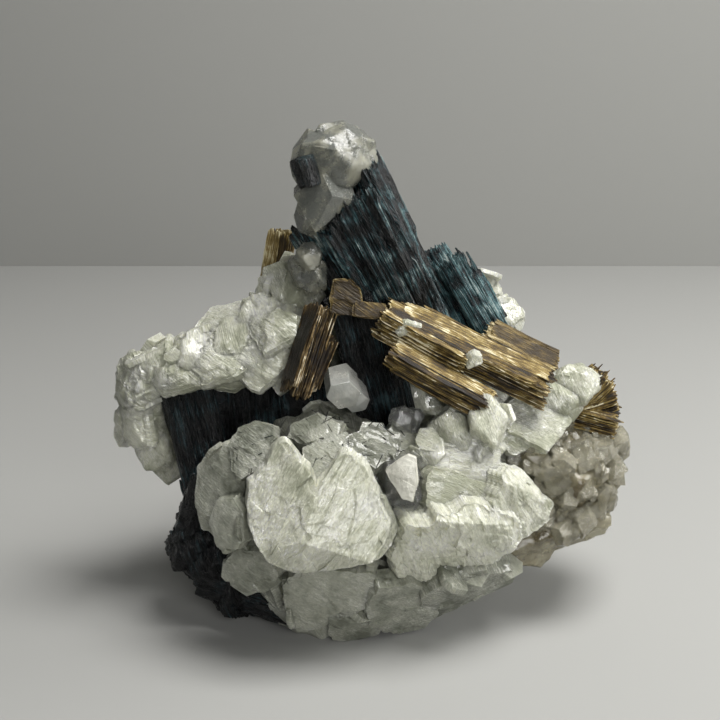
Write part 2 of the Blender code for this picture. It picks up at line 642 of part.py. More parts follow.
def boolean(obj, operation, crystals, grow, name):
    """Fuses crystals into an object, or cuts them out of it, in one exact Boolean."""
    helpers = bpy.data.collections.new(name)
    helpers.hide_render = True
    bpy.data.collections[HELPERS].children.link(helpers)
    for i, crystal in enumerate(crystals):
        sliced(f"{name}_{i}", crystal, grow, helpers)
    modifier = obj.modifiers.new(operation.lower(), "BOOLEAN")
    modifier.operation = operation
    modifier.operand_type = "COLLECTION"
    modifier.collection = helpers
    modifier.solver = "EXACT"
    graph = bpy.context.evaluated_depsgraph_get()
    mesh = bpy.data.meshes.new_from_object(obj.evaluated_get(graph))
    obj.modifiers.clear()
    obj.data = mesh
    for helper in list(helpers.objects):
        bpy.data.objects.remove(helper)
    bpy.data.collections.remove(helpers)


def keep_largest(mesh):
    """Drops the small splinters that a cut can leave beside the main body."""
    bm = bmesh.new()
    bm.from_mesh(mesh)
    bmesh.ops.triangulate(bm, faces=bm.faces[:])
    unseen = set(bm.verts)
    bodies = []
    while unseen:
        body = set()
        front = [unseen.pop()]
        while front:
            vert = front.pop()
            body.add(vert)
            for edge in vert.link_edges:
                other = edge.other_vert(vert)
                if other in unseen:
                    unseen.remove(other)
                    front.append(other)
        bodies.append(body)
    bodies.sort(key=len)
    loose = [vert for body in bodies[:-1] for vert in body]
    bmesh.ops.delete(bm, geom=loose, context="VERTS")
    bm.to_mesh(mesh)
    bm.free()


def stand_on_ground(mesh):
    """Cuts the cluster's foot flat at the height of the surface it rests on."""
    bm = bmesh.new()
    bm.from_mesh(mesh)
    whole = bm.verts[:] + bm.edges[:] + bm.faces[:]
    bmesh.ops.bisect_plane(
        bm, geom=whole, dist=TOUCH, plane_co=(0, 0, 0), plane_no=(0, 0, -1), clear_outer=True
    )
    rim = [e for e in bm.edges if e.is_boundary]
    if rim:
        bmesh.ops.triangle_fill(bm, edges=rim, use_beauty=True)
    bmesh.ops.recalc_face_normals(bm, faces=bm.faces[:])
    bm.to_mesh(mesh)
    bm.free()


def make_node(name, crystals, cutters, mineral, shown):
    """Fuses the crystals of one node and cuts them back from the nodes that come before it."""
    helpers = bpy.data.collections[HELPERS]
    obj = sliced(name, crystals[0], 0.0, helpers)
    helpers.objects.unlink(obj)
    shown.objects.link(obj)
    if crystals[1:]:
        boolean(obj, "UNION", crystals[1:], 0.0, f"{name}_grown")
    met = [c for c in cutters if near([c], crystals)]
    if met:
        boolean(obj, "DIFFERENCE", met, GAP, f"{name}_cut")
    stand_on_ground(obj.data)
    keep_largest(obj.data)
    obj.data.transform(Matrix.Scale(TO_METRES, 4))
    obj.data.materials.clear()
    obj.data.materials.append(finish(mineral))
    obj.hide_render = False
    obj.display_type = "TEXTURED"


def main():
    clear_scene()
    shown = new_collection(COLLECTION, shown=True)
    new_collection(HELPERS, shown=False)
    cutters = []
    for make, mineral in NODES:
        crystals = make()
        make_node(make.__name__, crystals, cutters, mineral, shown)
        cutters += crystals


main()
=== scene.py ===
# %% [markdown]
# # Black tourmaline with albite, mica and quartz
#
# The cluster is a crowd of crystals, and each mineral has its own way of growing. Tourmaline makes
# grooved columns, albite makes blades, mica makes books of thin sheets, and quartz makes six-sided
# glassy points. The solids give the place and the size of every crystal. This lesson gives each one a
# surface worked out with numpy, close enough to see its grooves, steps and splinters.

# %% Load the frame
import itertools
import math
import random

import bpy
import numpy as np
from mathutils import Matrix, Vector


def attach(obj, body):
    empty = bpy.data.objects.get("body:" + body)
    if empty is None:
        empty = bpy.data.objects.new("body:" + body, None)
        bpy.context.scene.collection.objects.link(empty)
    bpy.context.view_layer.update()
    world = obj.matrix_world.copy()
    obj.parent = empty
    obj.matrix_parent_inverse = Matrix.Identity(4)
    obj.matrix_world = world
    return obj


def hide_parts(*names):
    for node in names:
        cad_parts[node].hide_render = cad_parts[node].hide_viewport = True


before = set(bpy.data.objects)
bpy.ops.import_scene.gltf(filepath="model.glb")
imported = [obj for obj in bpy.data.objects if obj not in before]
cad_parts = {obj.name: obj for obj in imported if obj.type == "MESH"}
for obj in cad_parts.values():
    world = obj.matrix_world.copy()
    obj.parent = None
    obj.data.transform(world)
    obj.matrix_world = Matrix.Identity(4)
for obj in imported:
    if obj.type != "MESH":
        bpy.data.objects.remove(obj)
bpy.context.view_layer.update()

# %% [markdown]
# ## Camera
#
# The photograph looks down a little on the cluster from in front. A camera can be placed by eye, but
# here it is placed by an angle, a distance and the point that it looks at, so that it can be checked.

# %% Camera
MM = 0.001
VIEW_DOWN = 17.0
VIEW_DISTANCE = 201.5
VIEW_HEIGHT = 38.0
VIEW_ANGLE = 30.0


def point_at(thing, where, at):
    """Puts a camera or light at where, in metres, with its -Z axis towards the point at."""
    turn = (Vector(at) - Vector(where)).to_track_quat("-Z", "Y")
    thing.matrix_world = Matrix.Translation(where) @ turn.to_matrix().to_4x4()


down = math.radians(VIEW_DOWN)
look_at = np.array((0.0, 0.0, VIEW_HEIGHT)) * MM
camera = bpy.data.objects.new("camera", bpy.data.cameras.new("camera"))
bpy.context.scene.collection.objects.link(camera)
camera.data.angle = math.radians(VIEW_ANGLE)
camera.data.clip_start = 0.01
camera_back = np.array((0.0, -math.cos(down), math.sin(down)))
point_at(camera, look_at + camera_back * VIEW_DISTANCE * MM, look_at)
bpy.context.scene.camera = camera
print("camera at", [round(v, 4) for v in camera.matrix_world.translation])

# %% [markdown]
# ## Uneven values for natural surfaces
#
# Nothing in a rock is quite even. Blender has noise textures, but they act only on materials and
# modifiers. A small noise of our own lets the same unevenness shape the meshes. Each corner of a
# lattice gets a number by scrambling its whole-number address, and a point between the corners gets
# a blend of the eight around it.


# %% Noise
ODD = (374761393, 668265263, 1274126177)
SEED_STEP = 97471
ALL_BITS = 0xFFFFFFFF
LOW_BITS = 0xFFFFFF


def scramble(cell, seed):
    """A number from 0 to 1 for each whole-number address: the address is multiplied by large odd
    numbers, and its bits are folded over twice."""
    mixed = (cell[..., 0] * ODD[0] + cell[..., 1] * ODD[1] + cell[..., 2] * ODD[2]) & ALL_BITS
    mixed = (mixed + seed * SEED_STEP) & ALL_BITS
    mixed = ((mixed ^ (mixed >> 13)) * ODD[2]) & ALL_BITS
    mixed = ((mixed ^ (mixed >> 15)) * ODD[1]) & ALL_BITS
    return ((mixed ^ (mixed >> 16)) & LOW_BITS) / LOW_BITS


def noise(points, seed=0):
    """Smooth noise from -1 to 1: the eight scrambled corners around each point, blended by
    3t^2 - 2t^3 along each axis."""
    cell = np.floor(points).astype(np.int64)
    part = points - cell
    part = part * part * (3 - 2 * part)
    total = np.zeros(points.shape[:-1])
    for corner in np.ndindex(2, 2, 2):
        step = np.array(corner)
        share = np.prod(np.where(step == 1, part, 1 - part), axis=-1)
        total += share * scramble(cell + step, seed)
    return 2 * total - 1


def rough(points, octaves=3, seed=0):
    """Noise at several sizes: each octave is twice as fine and half as high as the one before."""
    total = np.zeros(points.shape[:-1])
    for octave in range(octaves):
        total += noise(points * 2**octave, seed + 7 * octave) / 2**octave
    return total


def steps(value, sharpness=5.0):
    """A staircase: whole numbers joined by short steep ramps. Sharpness is how steep they are."""
    level = np.floor(value)
    part = value - level
    return level + np.clip((part - 0.5) * sharpness + 0.5, 0, 1)


def flakes(points, seed=0):
    """Broken facets: space is split into cells round scattered centres, and inside each cell the value
    is a tilted plane, level + slope . (point - centre), with the cell's own level and slope."""
    base = np.floor(points).astype(np.int64)
    nearest, value = np.full(points.shape[:-1], 99.0), np.zeros(points.shape[:-1])
    for corner in np.ndindex(3, 3, 3):
        cell = base + np.array(corner) - 1
        gap = points - cell - np.stack([scramble(cell, seed + k) for k in range(3)], -1)
        slope = 2 * np.stack([scramble(cell, seed + k) for k in range(3, 6)], -1) - 1
        far = (gap**2).sum(axis=-1)
        level = 0.6 * scramble(cell, seed + 6) - 0.3
        value = np.where(far < nearest, level + (slope * gap).sum(axis=-1), value)
        nearest = np.minimum(far, nearest)
    return value


sample = noise(np.random.default_rng(1).uniform(0, 50, (2000, 3)))
print("noise from", round(sample.min(), 2), "to", round(sample.max(), 2))

# %% [markdown]
# ## Piles of closed surfaces
#
# A large crystal is a closed surface with two poles, like a globe: rows run from one pole to the
# other, and columns run round. Only the function that places the points differs. Sharp and small
# crystals are flat faces between exact corners instead. A piece is a pile of such surfaces in one
# mesh. Each point also keeps its place on the crystal in millimetres, across and along the grain,
# and the crystal's own random number, and materials read them as an attribute.


# %% Piles of closed surfaces
def unit(vector):
    """The vector made 1 long."""
    vector = np.asarray(vector, float)
    return vector / np.linalg.norm(vector)


def turned(azimuth, elevation, spin=0.0):
    """The right, up and outward directions of a face. Azimuth 0 faces -Y and 90 faces +X."""
    a, e, s = np.radians((azimuth, elevation, spin))
    out = np.array((np.sin(a) * np.cos(e), -np.cos(a) * np.cos(e), np.sin(e)))
    level = np.array((np.cos(a), np.sin(a), 0.0))
    right = level * np.cos(s) + np.cross(out, level) * np.sin(s)
    return right, np.cross(out, right), out


def own_number(seed, step=0.37):
    """A crystal's own number from 0 to 1: the part of seed x step after the point."""
    return (seed * step) % 1


class Pile:
    """Closed surfaces that become one mesh. A surface is a grid of points, rows by columns, that
    closes round its columns and runs to a pole at each end, or the corners and faces of a flat-faced
    crystal."""

    def __init__(self):
        self.points, self.marks, self.loops, self.counts, self.size = [], [], [], [], 0
        self.crystals = []

    def keep(self, points, marks, loops, counts):
        """Adds a surface: its points, their marks (grain across, grain along, the crystal's number,
        edge), the corners of its faces in turn, and how many corners each face has."""
        self.points.append(points)
        self.marks.append(marks)
        self.loops.append(loops + self.size)
        self.counts.append(counts)
        self.size += len(points)

    def add(self, poles, grid, grain, tint, edge=None):
        """Poles are the two end points, grid is (rows, columns, 3), grain is (rows, columns, 2) in
        millimetres, tint is the crystal's number, and edge is (rows, columns), 1 on sharp edges."""
        rows, columns = grid.shape[:2]
        number = 1 + np.arange(rows * columns).reshape(rows, columns)
        after = np.roll(number, -1, axis=1)
        quads = np.stack((number[:-1], after[:-1], after[1:], number[1:]), -1).reshape(-1, 4)
        last = 1 + rows * columns
        first_fan = np.stack((np.full(columns, 0), after[0], number[0]), -1)
        last_fan = np.stack((np.full(columns, last), number[-1], after[-1]), -1)
        fans = np.concatenate((first_fan, last_fan))
        points = np.concatenate((poles[:1], grid.reshape(-1, 3), poles[1:]))
        around = points - points.mean(axis=0)
        a, b, c = (around[np.concatenate((quads[:, :3], quads[:, [0, 2, 3]], fans))[:, i]] for i in range(3))
        if (a * np.cross(b, c)).sum() < 0:
            quads, fans = quads[:, ::-1], fans[:, ::-1]
        edge = np.zeros((rows, columns)) if edge is None else edge
        marks = np.concatenate((grain, np.full((rows, columns, 1), tint), edge[..., None]), -1)
        ends = np.concatenate((marks[:1].mean(axis=1), marks[-1:].mean(axis=1)))
        self.keep(points, np.concatenate((ends[:1], marks.reshape(-1, 4), ends[1:])),
                  np.concatenate((quads.ravel(), fans.ravel())),
                  np.repeat((4, 3), (len(quads), len(fans))))

    def mesh(self, name):
        """One mesh of all the surfaces, in metres and flat on the ground, with its marks kept as the
        attributes grain and edge."""
        points = np.concatenate(self.points)
        points[:, 2] = np.maximum(points[:, 2], 0.0)
        marks, loops, counts = (np.concatenate(part) for part in (self.marks, self.loops, self.counts))
        mesh = bpy.data.meshes.new(name)
        mesh.vertices.add(len(points))
        mesh.vertices.foreach_set("co", (points * MM).astype(np.float32).ravel())
        mesh.loops.add(len(loops))
        mesh.loops.foreach_set("vertex_index", loops.astype(np.int32))
        mesh.polygons.add(len(counts))
        mesh.polygons.foreach_set("loop_start", (np.cumsum(counts) - counts).astype(np.int32))
        mesh.update(calc_edges=True)
        mesh.validate()
        grain = mesh.attributes.new("grain", "FLOAT_VECTOR", "POINT")
        grain.data.foreach_set("vector", marks[:, :3].astype(np.float32).ravel())
        edge = mesh.attributes.new("edge", "FLOAT", "POINT")
        edge.data.foreach_set("value", marks[:, 3].astype(np.float32).ravel())
        return mesh


CREASE = 34.0
BEVEL_FROM = 20.0


def show(name, pile, material, node, bevel=0.0):
    """Makes the pile an object that stands for a node of the frame. Edges that turn more than CREASE
    degrees are shaded sharp. A bevel, in millimetres, cuts a narrow bright face on those that turn
    more than BEVEL_FROM."""
    mesh = pile.mesh(name)
    mesh.materials.append(material)
    mesh.polygons.foreach_set("use_smooth", np.ones(len(mesh.polygons), bool))
    mesh.set_sharp_from_angle(angle=math.radians(CREASE))
    piece = bpy.data.objects.new(name, mesh)
    bpy.context.scene.collection.objects.link(piece)
    if bevel:
        rounding = piece.modifiers.new("rounding", "BEVEL")
        rounding.width, rounding.segments = bevel * MM, 1
        rounding.angle_limit = math.radians(BEVEL_FROM)
    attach(piece, "root")
    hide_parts(node)
    triangles = sum(counts.sum() - 2 * len(counts) for counts in pile.counts)
    print(f"{name}: {triangles} triangles" + (" before its bevel" if bevel else ""))


# %% [markdown]
# ## The habits
#
# A flat-faced crystal is the space inside a set of planes. Seen from its centre, the distance to its
# surface in a direction is the smallest of the distances to the planes. A soft smallest, a sum of
# high powers, rounds the edges slightly, as real edges are. The same sets of planes made the solids.

# %% Planes of a crystal
SOFT = 26.0
GOLDEN_ANGLE = math.pi * (3 - math.sqrt(5))
PARALLEL = 1e-4
TOUCHING = 1e-7


def soft_distance(directions, normals, distances, power=SOFT):
    """Distance from the centre to the surface along each direction: (sum of (max(0, n.u) / d)^p) to
    the power -1/p, which is the distance to the nearest plane with its edges rounded."""
    share = np.clip(directions @ normals.T, 0, None) / distances
    top = share.max(axis=-1, keepdims=True)
    return 1 / (top[..., 0] * ((share / top) ** power).sum(axis=-1) ** (1 / power))


def globe(rows, columns):
    """Directions from pole to pole and round, as a grid of unit vectors, poles left out."""
    tilt = math.pi * (np.arange(rows) + 1)[:, None] / (rows + 1)
    turn = math.tau * np.arange(columns)[None, :] / columns
    return np.stack((np.sin(tilt) * np.cos(turn), np.sin(tilt) * np.sin(turn),
                     np.cos(tilt) + 0 * turn), -1)


def lump_planes(radii, seed, faces=15):
    """Normals spread evenly over a ball, each plane touching the ellipsoid or cutting into it."""
    dice = random.Random(seed)
    normals, distances = [], []
    for i in range(faces):
        height = 1 - 2 * (i + 0.5) / faces
        angle = GOLDEN_ANGLE * i + dice.uniform(-0.45, 0.45) + seed
        ring = math.sqrt(1 - height * height)
        normal = np.array((ring * math.cos(angle), ring * math.sin(angle), height))
        normals.append(normal)
        distances.append(np.linalg.norm(normal * radii) * dice.uniform(0.82, 1.0))
    return np.array(normals), np.array(distances)


GROWN = []


def grown(pile, centre, normals, distances):
    """Notes a crystal's planes, so that small crystals can grow on it later, or keep out of it."""
    crystal = np.array(centre, float), np.array(normals, float), np.array(distances, float)
    pile.crystals.append(crystal)
    GROWN.append(crystal)


def depth_in(points, crystals):
    """How deep each point is inside the deepest crystal round it, in millimetres. It is the largest
    over the crystals of the smallest distance to a plane, and less than 0 outside them all."""
    deepest = np.full(len(points), -1e9)
    for centre, normals, distances in crystals:
        deepest = np.maximum(deepest, (distances - (points - centre) @ normals.T).min(axis=1))
    return deepest


def facets(normals, distances):
    """Corners and rings of a flat-faced crystal. A corner is where three planes meet behind all the
    others. A face is the ring of corners on its plane, in order of angle about its normal."""
    trio = np.array(list(itertools.combinations(range(len(normals)), 3)))
    frames = normals[trio]
    meets = np.abs(np.linalg.det(frames)) > PARALLEL
    trio, frames = trio[meets], frames[meets]
    corners = np.linalg.solve(frames, distances[trio][..., None])[..., 0]
    inside = (corners @ normals.T <= distances + TOUCHING).all(axis=1)
    corners, trio = corners[inside], trio[inside]
    rings = []
    for i, normal in enumerate(normals):
        on = np.flatnonzero((trio == i).any(axis=1))
        if len(on) > 2:
            right, up = square_to(normal)
            flat = corners[on] - corners[on].mean(axis=0)
            rings.append(on[np.argsort(np.arctan2(flat @ up, flat @ right))])
    return corners, rings


def add_facets(pile, centre, normals, distances, across, along, tint, edge=0.0):
    """A flat-faced crystal, with its grain along the direction along."""
    normals, distances = np.array(normals, float), np.array(distances, float)
    corners, rings = facets(normals, distances)
    if len(rings) < 4:
        return
    same = np.ones(len(corners))
    marks = np.stack((corners @ across, corners @ along, tint * same, edge * same), -1)
    pile.keep(corners + centre, marks, np.concatenate(rings), np.array([len(ring) for ring in rings]))


def square_to(along):
    """Two directions at right angles to along."""
    across = np.array(Vector(along).orthogonal().normalized())
    return across, np.cross(along, across)


def add_lump(pile, centre, radii, seed, faces=15, rows=26, columns=44, relief=0.16, power=SOFT, grit=0.9,
             flake=1.7, tilt=0.10):
    """A broken crystal: the rounded planes of lump_planes, seen from the centre in directions
    stretched to the ellipsoid, with noise, small steps and flakes laid on."""
    normals, distances = lump_planes(radii, seed, faces)
    grown(pile, centre, normals, distances)
    ball = globe(rows, columns)
    spread = ball * np.array(radii)
    length = np.linalg.norm(spread, axis=-1, keepdims=True)
    reach = soft_distance(spread / length, normals, distances, power)
    body = spread / length * reach[..., None]
    wave = rough(body * grit + seed, 3, seed)
    ledge = steps(3.2 * noise(body * 0.45 + seed, seed + 3) + 0.6 * wave) / 3.2
    broken = tilt * flake * flakes(body / flake + 9.3 * seed, seed) if tilt else 0 * reach
    body = body * (1 + (0.5 * relief * wave + relief * ledge + broken)[..., None] / reach[..., None])
    share = np.sort(np.clip(ball @ normals.T, 0, None), axis=-1)
    edge = np.clip(1 - (share[..., -1] - share[..., -2]) * 9, 0, 1)
    ends = np.array(((0, 0, 1.0), (0, 0, -1.0)))
    ends = ends * soft_distance(ends, normals, distances, power)[:, None]
    grain = np.stack((body[..., 0] + 0.4 * body[..., 2], body[..., 2] - 0.4 * body[..., 1]), -1)
    pile.add(ends + centre, body + centre, grain, own_number(seed), edge)


# %% [markdown]
# ### Blades
#
# An albite blade is a flat crystal. It could be a cube that is sliced, as in the solids, but its face
# carries low terraces and its rim shows the cleavage layers like the pages of a book. So it is
# worked out in rings: from the middle of the front face out to the rim, over the rim, and back.


# %% Blades
STRAIGHT = 1e-9
BLADE_STEP = 0.61
SHEAF_STEP = 0.43


def laid_flat(corners, centre, facing):
    """Places across and up a face for corners (x, z) as seen from straight in front. Each is carried
    back along Y until it is on the face's plane."""
    right, up, out = turned(*facing)
    offset = np.array([(x - centre[0], 0.0, z - centre[2]) for x, z in corners])
    offset[:, 1] = -(offset[:, 0] * out[0] + offset[:, 2] * out[2]) / out[1]
    return np.stack((offset @ right, offset @ up), -1)


def sides_of(corners, centre, facing):
    """(angle, distance) of each side of the corners' outline, with its inward corners left out, and
    the middle of the outline. Corners are (x, z) as seen from straight in front."""
    right, up, _ = turned(*facing)
    flat = laid_flat(corners, centre, facing)
    order = np.argsort(np.arctan2(*(flat - flat.mean(axis=0)).T[::-1]))
    ring = list(flat[order])
    ring = [b for a, b, c in zip(ring[-1:] + ring[:-1], ring, ring[1:] + ring[:1])
            if (b[0] - a[0]) * (c[1] - b[1]) - (b[1] - a[1]) * (c[0] - b[0]) > STRAIGHT]
    middle = np.mean(ring, axis=0)
    sides = []
    for start, end in zip(ring, ring[1:] + ring[:1]):
        normal = unit((end[1] - start[1], start[0] - end[0]))
        sides.append((math.degrees(math.atan2(normal[1], normal[0])), normal @ (start - middle)))
    return sides, np.array(centre) + right * middle[0] + up * middle[1]


def oval_sides(across, along, count, seed):
    """The sides of an uneven polygon about an oval of these half widths."""
    dice = random.Random(seed)
    sides = []
    for i in range(count):
        angle = math.tau * (i + dice.uniform(-0.28, 0.28)) / count
        radius = across * along / math.hypot(along * math.cos(angle), across * math.sin(angle))
        sides.append((math.degrees(angle), radius * dice.uniform(0.86, 1.04)))
    return sides


def ring_reach(ring, turn):
    """Distance from the middle to the ring of corners along each direction u: on the edge from a to
    b it is (a x b) / (u x (b - a)). Seven neighbours are averaged, which rounds the corners."""
    ring = ring[np.argsort(np.arctan2(ring[:, 1], ring[:, 0]))]
    place = np.searchsorted(np.arctan2(ring[:, 1], ring[:, 0]), (turn + math.pi) % math.tau - math.pi) - 1
    a, b = ring[place], np.roll(ring, -1, axis=0)[place]
    step = b - a
    reach = (a[:, 0] * b[:, 1] - a[:, 1] * b[:, 0]) / (np.cos(turn) * step[:, 1] - np.sin(turn) * step[:, 0])
    return sum(np.roll(reach, shift) for shift in range(-3, 4)) / 7


def add_plate(pile, centre, facing, sides, thick, seed, rings=16, columns=72, bevel=0.0, relief=0.12,
              ragged=0.02, grain_turn=60.0, layers=5, dome=0.0, terraces=2.4, ribs=0.45, ring=None,
              faces=((0.0, 0.0, 0.0),), flake=1.5, tilt=0.10):
    """A blade: its outline is the soft polygon of its sides or a ring of corners, and its section
    runs over the front face, down a layered rim and over the back. Terraces are a staircase of noise
    that falls towards the rim, ribs run along the grain, and the rim's rows step in and out in turn.
    The front is cut by faces (a, b, c), and its lift is the least of a x + b y + c."""
    right, up, out = turned(*facing)
    turn = math.tau * np.arange(columns) / columns
    angles = np.radians([a for a, _ in sides])
    away = np.array([d for _, d in sides])
    share = np.clip(np.cos(turn[:, None] - angles), 0, None) / away
    radius = (share**80).sum(axis=-1) ** (-1 / 80) if ring is None else ring_reach(ring, turn)
    normals = [unit(out - a * right - b * up) for a, b, _ in faces]
    normals += [-out] + [right * np.cos(a) + up * np.sin(a) for a in angles]
    cuts = [(thick / 2 + c) / math.sqrt(1 + a * a + b * b) for a, b, c in faces]
    grown(pile, centre, normals, np.concatenate((cuts, (thick / 2,), away)))
    circle = np.stack((np.cos(turn), np.sin(turn), 0 * turn), -1)
    radius = radius * (1 + ragged * rough(circle * radius[:, None] * 0.9 + seed, 3, seed))
    front = 1 - (1 - np.arange(1, rings + 1) / rings) ** 1.5
    rim = np.linspace(1, -1, layers + 2)[1:-1]
    back = np.array((0.97, 0.7, 0.35))
    share_out = np.concatenate((front, np.ones(layers), back))
    level = np.concatenate((np.ones(rings), rim, -np.ones(3)))
    swell = 0.25 * thick * math.tan(math.radians(bevel)) if bevel else 0.05 * thick
    bulge = swell * (1 - 2 * np.abs(level)) if bevel else -swell * level
    page = np.where(np.arange(len(level)) % 2, 1.0, -1.0) * (np.abs(level) < 1) * min(0.1, 0.035 * thick)
    reach = share_out[:, None] * (radius + bulge[:, None] + page[:, None])
    x, y = reach * np.cos(turn), reach * np.sin(turn)
    place = np.stack((x, y, 0 * x + seed), -1)
    slope = steps(terraces * (1 - share_out[:, None] ** 3) + 1.7 * noise(place * 0.33, seed), 7) - terraces
    lift = np.min([a * x + b * y + c for a, b, c in faces], axis=0)
    height = (level[:, None] + 1) / 2 * (thick + lift) - thick / 2
    on_front = (level[:, None] > 0.99) * np.minimum(1.0, (1.02 - share_out[:, None]) * 14)
    line = math.radians(grain_turn)
    grain = np.stack((x * np.cos(line) + y * np.sin(line), y * np.cos(line) - x * np.sin(line)), -1)
    ridge = noise(np.stack((grain[..., 0] * 1.9, grain[..., 1] * 0.22, 0 * x), -1), seed + 5)
    height += on_front * relief * (0.8 * slope + ribs * ridge + 0.25 * rough(place * 1.3, 2, seed + 2))
    height += dome * (1 - share_out[:, None] ** 2) * (level[:, None] > 0.99)
    broken = flakes(np.stack((grain[..., 0], 0.5 * grain[..., 1], 0 * x), -1) / flake + 7.7 * seed, seed + 3)
    height += tilt * flake * broken * (level[:, None] > 0.99) * np.minimum(1, (1.03 - share_out[:, None]) * 9)
    grid = np.array(centre) + x[..., None] * right + y[..., None] * up + height[..., None] * out
    middle = height[0].mean()
    poles = np.array(centre) + np.array((middle, -thick / 2))[:, None] * out
    edge = np.clip((share_out[:, None] - 0.95) * 20, 0, 1) * np.ones_like(x)
    pile.add(poles, grid, grain, own_number(seed, BLADE_STEP), edge)


def add_blade(pile, centre, facing, across, along, thick, seed, **more):
    """A blade with an uneven six-sided outline about an oval."""
    add_plate(pile, centre, facing, oval_sides(across, along, 6, seed), thick, seed, **more)


# %% [markdown]
# ### Sheaves of tourmaline
#
# A tourmaline column is a sheaf of parallel crystals that grew into one. It could be a cylinder with
# a bump texture, but its outline and its broken top show the single crystals. So its section, seen
# from the axis, is the furthest reach of all its rods' circles, and fine grooves are added to that.


# %% Sheaves
def add_sheaf(pile, foot, tip, members, spread, seed, rows=44, columns=200, cap_rings=16, groove=0.18,
              jag=0.7, fullness=9.0):
    """A sheaf of rods. Members are (across, depth, radius, extra length). Across a section, the
    reach along a direction is the soft largest of the far crossings of the members' circles. Grooves
    are noise stretched along the rods. The top keeps each member's own height, plus a jagged
    break."""
    foot, tip = np.array(foot, float), np.array(tip, float)
    along = unit(tip - foot)
    across = unit((along[2], 0.0, -along[0]))
    deep = np.cross(along, across)
    around = [across * math.cos(t) + deep * math.sin(t) for t in np.arange(8) * math.tau / 8]
    for a, d, radius, extra in members:
        low, high = foot + across * a + (0, d, 0), tip + across * a + (0, d, 0) + along * extra
        half = np.linalg.norm(high - low) / 2
        grown(pile, (low + high) / 2, around + [along, -along], [radius] * 8 + [half] * 2)
    deep = deep if deep[1] > 0 else -deep
    length = np.linalg.norm(tip - foot)
    rod = np.array(members)
    middle = rod[:, :2].mean(axis=0)
    turn = math.tau * np.arange(columns) / columns
    beam = np.stack((np.cos(turn), np.sin(turn)), -1)
    station = np.linspace(0, 1, rows)
    widen = spread + (1 - spread) * station
    spot = (rod[:, :2] - middle)[None] * widen[:, None, None]
    ahead = np.einsum("cj,rmj->rcm", beam, spot)
    miss = (spot**2).sum(-1)[:, None] - ahead**2
    inside = rod[:, 2] ** 2 - miss
    far = np.where(inside > 0, ahead + np.sqrt(np.maximum(inside, 0)), 0.05)
    far = np.maximum(far, 0.05)
    reach = (far**fullness).sum(axis=-1) ** (1 / fullness)
    reach = np.minimum(reach, far.max(axis=-1) * 1.06)
    rim = beam[None] * reach[..., None]

    def stretched(finer, slower):
        """Places for noise: finer times the rim across the rods, slower times the way along them."""
        way = station[:, None, None] * length * slower * np.ones((1, columns, 1))
        return np.concatenate((rim * finer, way), -1)

    grooves, fine = stretched(2.1, 0.06), stretched(5.2, 0.16)
    slow, broad = stretched(0.55, 0.09), stretched(0.8, 0.03)
    cut = -np.abs(noise(grooves, seed)) * 1.5 - np.abs(noise(fine, seed + 4)) * 0.8 + 0.55
    ledge = steps(2.6 * noise(slow, seed + 6) + 0.5 * noise(grooves * 0.5, seed + 8), 8)
    reach = reach + groove * cut + 1.2 * groove * ledge - 2.4 * groove * np.abs(noise(broad, seed + 2))
    foot_ring, cap = np.linspace(0.2, 0.9, 3), np.linspace(1, 0, cap_rings + 1)[1:-1]
    share = np.concatenate((foot_ring, np.ones(rows), cap))
    level = np.concatenate((np.zeros(3), station, np.ones(len(cap))))
    body = np.concatenate((np.repeat(reach[:1], 3, 0), reach, np.repeat(reach[-1:], len(cap), 0)))
    flat = beam[None] * (body * share[:, None])[..., None]
    rise = level[:, None] * length + 0 * body
    gap = ((flat[:, :, None] - (rod[:, :2] - middle)) ** 2).sum(-1) - rod[:, 2] ** 2
    nearest = rod[gap.argmin(axis=-1), 3]
    fibre = noise(np.concatenate((flat * 2.6, np.zeros(flat.shape[:2] + (1,))), -1), seed + 9)
    top = np.clip((level - 0.72) / 0.28, 0, 1)[:, None]
    rise += top * (nearest + jag * fibre)
    sway = middle * (spread + (1 - spread) * level)[:, None]
    place = flat + sway[:, None]
    grid = foot + along * rise[..., None] + across * place[..., :1] + deep * place[..., 1:]
    ends = np.stack((grid[0].mean(axis=0), grid[-1].mean(axis=0)))
    grain = np.stack((turn * 4.0 + 0 * rise, rise), -1)
    grain[..., 0] = np.where(share[:, None] < 1, flat[..., 0] + 11, grain[..., 0])
    edge = np.clip((level - 0.99) * 100, 0, 1)[:, None] * np.ones_like(rise)
    pile.add(ends, grid, grain, own_number(seed, SHEAF_STEP), edge)
    return {"foot": foot, "along": along, "across": across, "deep": deep, "length": length,
            "station": station, "reach": reach, "middle": middle, "spread": spread}


SPLINTER_THICK = (0.12, 0.4)
SPLINTER_LENGTH = (2.0, 9.0)


